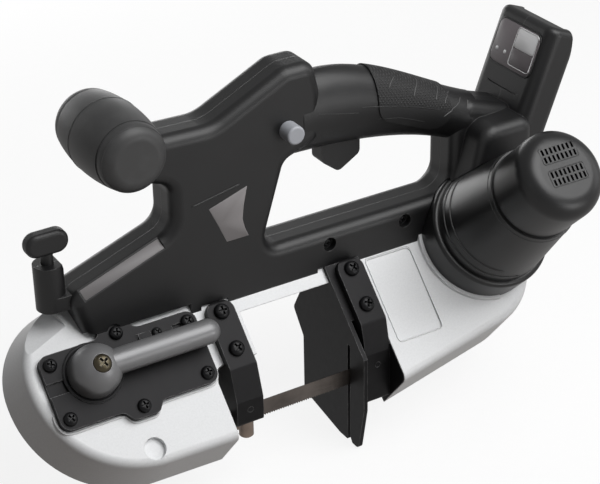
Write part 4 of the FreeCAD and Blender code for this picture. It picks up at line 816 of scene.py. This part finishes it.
class SAW_OT_finishes(bpy.types.Operator):
    """Make the finishes and give the CAD pieces theirs"""

    bl_idname = "saw.finishes"
    bl_label = "Finishes"

    def execute(self, context):
        tone = context.scene.saw_colours
        sizes = context.scene.saw_sizes
        silver_paint(tone.silver)
        moulded_plastic("black_plastic", tone.housing, roughness=0.36)
        plain_rubber("bulb_rubber", lighter(tone.rubber, 0.035))
        grip_rubber("grip_rubber", tone.rubber, sizes.dot_pitch, sizes.dot_depth)
        moulded_plastic("case_paint", tone.case, roughness=0.3, grain_depth=0.03 * MM)
        dark_steel("black_steel", tone.steel, roughness=0.42)
        dark_steel("screw_steel", tone.screw, roughness=0.26, metal=0.2, wear_and_edge_highlight=0.05, gloss=0.25)
        grey_paint("lever_paint", tone.lever, roughness=0.34, metal=0.35)
        grey_paint("button_grey", tone.button, roughness=0.4)
        moulded_plastic("knob_plastic", tone.housing, roughness=0.4)
        blade_steel(tone.blade)
        bright_metal("wheel_alloy", tone.alloy, roughness=0.4)
        plain_rubber("tyre_rubber", tone.rubber)
        bright_metal("machined_steel", tone.machined, roughness=0.28)
        bright_metal("drive_unit", darker(tone.machined, 0.4), roughness=0.45)
        grey_paint("panel_plastic", tone.panel, roughness=0.35)
        moulded_plastic("inner_plastic", tone.housing, roughness=0.45)
        # Painted highlight: the ribs get a lighter rubber that stands in for the sheen along them.
        plain_rubber("rib_rubber", lighter(tone.rubber, 0.05))
        moulded_plastic("bed_plastic", tone.housing, roughness=0.36, soft_edges=False)
        # Painted highlight: a darker share of the strut grey stands in for the light along the
        # base's bevel.
        grey_paint("strip_grey", darker(tone.strut, 0.35), roughness=0.42)
        bright_metal("terminal_metal", tone.terminal, roughness=0.25)
        # Painted highlight: a light grey standing in for the light that the strut's facet catches.
        grey_paint("strut_grey", tone.strut, roughness=0.42)
        bright_metal("roller_steel", tone.roller, roughness=0.34)
        dark_steel("lever_screw_steel", tone.lever_screw, roughness=0.3, metal=0.85)
        grey_paint("window_grey", tone.window, roughness=0.3)
        grey_paint("key_field", darker(tone.panel, 0.35), roughness=0.4)
        for finish, nodes in NODES.items():
            for node in nodes:
                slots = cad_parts[node].data.materials
                slots.clear()
                slots.append(Finish.made[finish])
        return {"FINISHED"}


class SAW_OT_screws(bpy.types.Operator):
    """Put cross-recess screws in the plate, the guides, the lever, the axles and the rail"""

    bl_idname = "saw.screws"
    bl_label = "Screws"

    def execute(self, context):
        sizes = context.scene.saw_sizes
        over = Matrix.Rotation(math.pi, 4, "X")
        plate = [deck_frame(u, v, PLATE_TOP) for u, v in PLATE_SCREWS]
        guide = [deck_frame(*place) for place in GUIDE_SCREWS]
        lever = [deck_frame(*LEVER, LEVER_TOP)]
        drive, idler = ([deck_frame(u, AXIS, AXLE_END) @ over] for u in (DRIVE, IDLER))
        small = [deck_frame(*SMALL_SCREW, PLATE_TOP)]
        small += [side_frame(*place) for place in RAIL_SCREWS]
        # A screw's numbers: radius and rise of its head, radius and length of its shank.
        self.stand("plate_screw_heads", plate, ["tension_plate_screws"],
                   cross_screw(sizes.plate_screw / MM, 3.4, 2.0, 11.0))
        self.stand("guide_screw_heads", guide, ["guide_screws"],
                   cross_screw(sizes.guide_screw / MM, 4.0, 2.5, 12.0))
        self.stand("lever_screw_head", lever, ["lever_screw"],
                   cross_screw(sizes.lever_screw / MM, 5.2, 2.0, 0.0),
                   "tension_lever", "lever_screw_steel")
        axle = cross_screw(6.6, 2.2, 1.0, 0.0)
        self.stand("drive_axle_screw", drive, [], axle)
        self.stand("idler_axle_screw", idler, [], axle, "tension_slide")
        self.stand("small_screw_heads", small, [], cross_screw(3.4, 2.6, 1.5, 1.0))
        return {"FINISHED"}

    def stand(self, name, places, stands_for, mesh, body=ROOT_BODY, finish="screw_steel"):
        """Copies of a screw at some places, each turned on from the one before."""
        first_turn, next_turn = 0.5, 1.1
        work = bmesh.new()
        for index, place in enumerate(places):
            before = set(work.verts)
            work.from_mesh(mesh)
            spin = Matrix.Rotation(first_turn + next_turn * index, 4, "Z")
            added = [vert for vert in work.verts if vert not in before]
            bmesh.ops.transform(work, matrix=place @ spin, verts=added)
        new_piece(name, work, finish, body, stands_for, sharp=0.5)


class SAW_OT_blade(bpy.types.Operator):
    """Cut teeth, set to both sides, into the blade all round its loop"""

    bl_idname = "saw.blade"
    bl_label = "Toothed blade"

    def execute(self, context):
        sizes = context.scene.saw_sizes
        depth = sizes.tooth_depth / MM
        gullet = 1.2
        root = -BLADE_HALF + depth * gullet
        work = bmesh.new()
        rings = []
        for index, (u, v, turn, lean) in enumerate(self.stations(sizes.tooth_pitch / MM)):
            tip = index % 2
            side = (index // 2 % 2) * 2 - 1
            width = Vector((0, math.sin(turn), math.cos(turn)))
            flat = Vector((-math.sin(lean), math.cos(lean), 0))
            across = (flat - width * flat.dot(width)).normalized() * BLADE_SKIN
            set_aside = across * side * sizes.tooth_set / (BLADE_SKIN * MM) * tip
            low = -BLADE_HALF + (0 if tip else depth)
            place = Vector((u, v, 0))
            corners = [
                place + width * BLADE_HALF + across, place + width * BLADE_HALF - across,
                place + width * root - across, place + width * low - across + set_aside,
                place + width * low + across + set_aside, place + width * root + across,
            ]
            rings.append([work.verts.new(deck(*corner)) for corner in corners])
        join_rings(work, rings + rings[:1])
        new_piece("toothed_blade", work, "blade_steel", stands_for=["blade"], sharp=0.3)
        return {"FINISHED"}

    def stations(self, pitch):
        """Places round the loop half a tooth apart: along, across, the twist and the lean."""
        arc = math.pi * AXIS
        run = DRIVE - IDLER
        count = int(2 * (run + arc) / pitch) * 2
        front, rear, full = -95.0, 25.5, math.pi / 4
        made = []
        for index in range(count):
            way = 2 * (run + arc) * index / count
            if way < run:
                u = IDLER + way
                rise = min((u - IDLER) / (front - IDLER), (DRIVE - u) / (DRIVE - rear), 1.0)
                made.append((u, 0.0, full * max(rise, 0.0), 0.0))
            elif way < run + arc:
                made.append(self.round_wheel(DRIVE, (way - run) / AXIS))
            elif way < 2 * run + arc:
                made.append((DRIVE - (way - run - arc), 2 * AXIS, 0.0, math.pi))
            else:
                made.append(self.round_wheel(IDLER, math.pi + (way - 2 * run - arc) / AXIS))
        return made

    def round_wheel(self, middle, lean):
        return middle + AXIS * math.sin(lean), AXIS - AXIS * math.cos(lean), 0.0, lean


class SAW_OT_rollers(bpy.types.Operator):
    """Turn the four upright guide rollers, with chamfered ends and a ring round the pin"""

    bl_idname = "saw.rollers"
    bl_label = "Guide rollers"

    def execute(self, context):
        chamfer = context.scene.saw_sizes.roller_chamfer / MM
        low, high, rad, bore = -50.5, -31.5, 5.0, 2.05
        profile = [
            (bore, low + 0.4), (bore + 0.5, low), (bore + 1.2, low), (bore + 1.4, low + 0.5),
            (bore + 1.7, low + 0.5), (bore + 1.9, low), (rad - chamfer, low), (rad, low + chamfer),
            (rad, high - chamfer), (rad - chamfer, high), (bore + 0.5, high), (bore, high - 0.4),
        ]
        for end, x in (("front", -85.0), ("rear", 15.5)):
            for side, y in (("near", -5.55), ("far", 5.55)):
                name = f"{end}_{side}_roller"
                place = drawing_frame(Vector((x, y, 0)) * MM, *Matrix.Identity(3))
                work = filled(lathe, profile, place, 40, closed=True)
                new_piece(name + "_turned", work, "roller_steel", name, [name])
        return {"FINISHED"}


class SAW_OT_plate_trim(bpy.types.Operator):
    """Lay the bead round the tension plate, the rear panel's border and the ring under the lever"""

    bl_idname = "saw.plate_trim"
    bl_label = "Plate trim"

    def execute(self, context):
        radius = context.scene.saw_sizes.plate_bead
        up = deck_way(0, 0, 1)
        low, front, back, middle, tab, foot = 21.2, -216.4, -101.6, -159.0, 10.4, 14.2
        dip = [(1.25, 0.08), (1.08, 0.3), (0.97, 0.65), (0.72, 0.94), (0.3, 1.0)]
        line = [
            (front, 36.0), (front, 29.5), (front + 2.4, 23.8), (front + 8.0, low),
            (-190.0, low), (-176.0, low),
            *((middle - tab * wide, low + (foot - low) * deep) for wide, deep in dip),
            *((middle + tab * wide, low + (foot - low) * deep) for wide, deep in reversed(dip)),
            (-142.0, low), (-125.0, low),
            (back - 8.0, low), (back - 2.4, 23.8), (back, 29.5), (back, 36.0),
        ]
        points = [deck(u, v, DECK_TOP + 0.15) for u, v in even_line(line, 120)]
        new_piece("plate_bead", filled(bead, points, radius, up), "silver_paint")
        edge = round_box(36.6, 62.8, corner=3.0, middle=(50.8, 38.7))
        points = [deck(u, v, DECK_TOP + 0.05) for u, v in edge + edge[:1]]
        border = filled(bead, points, radius * 0.55, up)
        new_piece("panel_border", border, "silver_paint")
        profile = [(17.6, 0), (17.6, 1.0), (18.2, 1.4), (19.6, 1.4), (20.2, 1.0), (20.2, 0)]
        ring = filled(lathe, profile, deck_frame(*LEVER, PLATE_TOP - 0.4), 64, closed=True)
        new_piece("lever_ring", ring, "black_steel")
        return {"FINISHED"}


class SAW_OT_flat_plates(bpy.types.Operator):
    """Let grey plates into strut and base as painted highlights, and face the throat's rear end
    with a black one
    """

    bl_idname = "saw.flat_plates"
    bl_label = "Flat plates"

    def execute(self, context):
        # Painted highlight: a lighter grey plate on the strut's facet stands in for the light that
        # the facet catches.
        outline = [
            (-86.3, 104.2), (-72, 108.7), (-57.8, 113.4), (-60.6, 100), (-61.9, 90.5),
            (-60.4, 83.5), (-57.7, 76.8), (-74.2, 76.8), (-80, 90.5),
        ]
        strut = filled(chamfered, outline, -2.0, 0.2, side_frame(0, NEAR_WALL, 0), 0.4)
        new_piece("strut_plate", strut, "strut_grey")
        # Painted highlight: a grey strip on the base's bevel stands in for the light caught along
        # that edge.
        out = Vector((-0.24, -0.707, 0.666)).normalized()
        along = Vector((0.0, 1.0, 0.0)).cross(out).normalized()
        slope = Matrix((along, out.cross(along), out)).transposed()
        place = drawing_frame(Vector((-148.9, 34.3, 77.84)) * MM, *slope)
        strip = filled(chamfered, round_box(61.0, 7.4, corner=0.8), -1.0, 0.25, place, 0.3)
        new_piece("base_strip", strip, "strip_grey")
        outline = [
            (-22.5, -15.6), (-18.5, 21.6), (-17.4, 24.2), (-15.3, 26), (-12.7, 26.7),
            (9, 26.7), (9, 10.4), (-5.4, 10.4), (-5.4, -15.6),
        ]
        place = drawing_frame(deck(26, 0, 0), (0, 0, 1), (SLANT, -SLANT, 0), (SLANT, SLANT, 0))
        throat = filled(prism, outline, -0.45, 0.3, place)
        new_piece("throat_plate", throat, "black_steel")
        return {"FINISHED"}


class SAW_OT_grip_ribs(bpy.types.Operator):
    """Lay the curved ribs on the grip's inlay and the seams along the grip"""

    bl_idname = "saw.grip_ribs"
    bl_label = "Grip ribs and seams"

    # Ribs as lines of x and z in the side view, and seams with their share of the seam's radius.
    ribs = [
        [(61.5, 158), (57, 156.5), (53.8, 153.9)],
        [(81.5, 150), (79.5, 149), (75.5, 146.6), (73, 143)],
        [(98.5, 141), (94.5, 139.1), (91.5, 135.9)],
        [(108, 135.2), (105, 135), (101.1, 134.2), (98.5, 131.5)],
        [(116, 129.6), (110.1, 126.9), (101.8, 125.1), (96.1, 123.1)],
        [(121.6, 126.4), (120.1, 124.5), (118.3, 122)],
    ]
    seams = [
        (1.0, [(-3, 150.4), (12, 146.8), (28.5, 143)]),
        (0.8, [(43.7, 134.6), (60.5, 131.5), (81.2, 123)]),
        (1.0, [(30.8, 146.5), (41.1, 144.6), (60.3, 140.1), (80.9, 133.6), (93.4, 128.8)]),
        (2.2, [(-99, 109.4), (-80, 113), (-63, 116.2)]),
    ]

    def execute(self, context):
        sizes = context.scene.saw_sizes
        skin = Surface("housing_near", "housing_far", "grip_inlay")
        work = bmesh.new()
        for line in self.ribs:
            points = skin.from_near(even_line(line, 18))
            bead(work, points, sizes.grip_rib, Vector((0, -1, 0.4)))
        new_piece("grip_ribs", work, "rib_rubber")
        work = bmesh.new()
        for share, line in self.seams:
            points = skin.from_near(even_line(line, 24))
            bead(work, points, sizes.seam * share, Vector((0, -1, 0)))
        new_piece("housing_seams", work, "black_plastic")
        return {"FINISHED"}


class SAW_OT_motor_rings(bpy.types.Operator):
    """Raise the ridges round the motor housing's foot and under the end cap, and frame the vents"""

    bl_idname = "saw.motor_rings"
    bl_label = "Motor rings"

    def execute(self, context):
        radius = context.scene.saw_sizes.motor_ring
        skin = Surface("motor_housing", "gear_case", "motor_end_cap")
        work = bmesh.new()
        up = deck_way(0, 0, 1)
        steps, outside, above = 48, 90.0, 200
        ridges = ((58.5, 1.75, 4.7, 1.0), (66.0, 1.9, 4.3, 1.0), (111.5, 0.0, 6.28, 0.45))
        for height, start, end, size in ridges:
            turns = [start + (end - start) * step / steps for step in range(steps + 1)]
            ways = [deck_way(math.cos(turn), math.sin(turn), 0) for turn in turns]
            points = skin.ring(deck(*MOTOR, height), ways, outside)
            bead(work, points, radius * size, up)
        new_piece("motor_rings", work, "case_paint")
        frames = bmesh.new()
        for across in (57.0, 73.0):
            edge = round_box(28.4, 11.4, corner=1.5, middle=(MOTOR[0], across))
            points = [skin.hit(deck(u, v, above), -up) for u, v in edge + edge[:1]]
            bead(frames, points, radius * 0.5, up)
        new_piece("vent_frames", frames, "case_paint")
        return {"FINISHED"}


class SAW_OT_display(bpy.types.Operator):
    """Fit the display's glass and rim, its blank window, its key field and two lamps"""

    bl_idname = "saw.display"
    bl_label = "Display"

    def execute(self, context):
        tilt = math.radians(21.0)
        foot_x, foot_z, half = 155, 111, 34
        thick = math.cos(tilt), -math.sin(tilt)
        rise = math.sin(tilt), math.cos(tilt)
        face = Matrix(((0, rise[0], -thick[0]), (-1, 0, 0), (0, rise[1], -thick[1])))
        middle = Vector((
            foot_x + half * rise[0] - thick[0], HANDLE_MID, foot_z + half * rise[1] - thick[1],
        ))
        place = drawing_frame(middle * MM, *face)
        out = face @ Vector((0, 0, 1))
        bed = filled(prism, round_box(40.0, 42.0, corner=4.0), -1.6, -0.98, place)
        new_piece("display_bed", bed, "bed_plastic", stands_for=["display_panel"])
        glass_up, field_right, lamps_up = 8.0, 9.9, -6.2
        place = place @ Matrix.Translation((0, glass_up, 0))
        glass = filled(chamfered, round_box(45.0, 31.0, corner=5.5), -1.6, 0.0, place, 0.6)
        new_piece("display_glass", glass, "panel_plastic")
        line = loop(round_box(46.0, 32.0, corner=6.0), -0.8, place)
        new_piece("display_rim", filled(bead, line, 0.65 * MM, out), "black_plastic")
        for name, finish, high, up in (
            ("display_window", "window_grey", 14.2, 7.0), ("key_field", "key_field", 11.8, -6.6),
        ):
            outline = round_box(21.6, high, corner=1.8, middle=(field_right, up))
            field = filled(chamfered, outline, -0.4, 0.3, place, 0.25)
            new_piece(name, field, finish)
        line = loop(round_box(23.0, 27.4, corner=2.6, middle=(field_right, 0.8)), 0.1, place)
        border = filled(bead, line, 0.35 * MM, out)
        new_piece("display_border", border, "window_grey")
        lamps = bmesh.new()
        for x in (-17.0, -8.0):
            spot = place @ Matrix.Translation((x, lamps_up, 0))
            lathe(lamps, [(1.4, -0.4), (1.4, 0.15), (1.1, 0.35), (0, 0.45)], spot, 20)
        new_piece("display_lamps", lamps, "window_grey")
        return {"FINISHED"}


class SAW_OT_terminals(bpy.types.Operator):
    """Sleeve the three tabs of the terminal block with bright metal blades"""

    bl_idname = "saw.terminals"
    bl_label = "Terminal blades"

    def execute(self, context):
        blades = bmesh.new()
        outline = [(166.2, 80.8), (171.7, 78.75), (177.5, 94.0), (171.9, 96.1)]
        for y in (39.0, 48.0, 57.0):
            chamfered(blades, outline, -0.6, 0.6, side_frame(0, y, 0), 0.3)
        new_piece("terminal_blades", blades, "terminal_metal")
        return {"FINISHED"}


class SAW_OT_grip_rings(bpy.types.Operator):
    """Run the seams round the cross grip, beside its end caps and across its middle"""

    bl_idname = "saw.grip_rings"
    bl_label = "Cross grip seams"

    def execute(self, context):
        radius = context.scene.saw_sizes.seam
        skin = Surface("front_grip", "front_grip_caps")
        low, high = (Vector(corner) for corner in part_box("front_grip"))
        middle = (low + high) / 2
        steps, outside = 72, 0.2
        work = bmesh.new()
        turns = [2 * math.pi * step / steps for step in range(steps + 1)]
        ways = [Vector((math.cos(turn), 0, math.sin(turn))) for turn in turns]
        for y in (low.y - 6.0 * MM, low.y - 1.0 * MM, middle.y + 6.0 * MM):
            points = skin.ring(Vector((middle.x, y, middle.z)), ways, outside)
            bead(work, points, radius, Vector((0, 1, 0)))
        new_piece("cross_grip_seams", work, "bulb_rubber")
        return {"FINISHED"}


class SAW_PT_panel(bpy.types.Panel):
    """Pieces of the band saw"""

    bl_label = "Band saw"
    bl_idname = "SAW_PT_panel"
    bl_space_type = "VIEW_3D"
    bl_region_type = "UI"
    bl_category = "Band saw"

    def draw(self, context):
        for operator in OPERATORS:
            self.layout.operator(operator.bl_idname)
        for key in GROUPS:
            box = self.layout.box()
            group = getattr(context.scene, key)
            for name in group.__annotations__:
                box.prop(group, name)


OPERATORS = [
    SAW_OT_stage, SAW_OT_finishes, SAW_OT_screws, SAW_OT_blade, SAW_OT_rollers, SAW_OT_plate_trim,
    SAW_OT_flat_plates, SAW_OT_grip_ribs, SAW_OT_grip_rings, SAW_OT_motor_rings, SAW_OT_display,
    SAW_OT_terminals,
]
GROUPS = {"saw_colours": SawColours, "saw_sizes": SawSizes, "saw_stage": SawStage}
CLASSES = [*GROUPS.values(), *OPERATORS, SAW_PT_panel]


def register():
    for kind in CLASSES:
        bpy.utils.register_class(kind)
    for name, group in GROUPS.items():
        setattr(bpy.types.Scene, name, PointerProperty(type=group))


def unregister():
    for name in GROUPS:
        delattr(bpy.types.Scene, name)
    for kind in reversed(CLASSES):
        bpy.utils.unregister_class(kind)


def main():
    register()
    for operator in OPERATORS:
        group, action = operator.bl_idname.split(".")
        getattr(getattr(bpy.ops, group), action)()


if __name__ == "__main__":
    main()
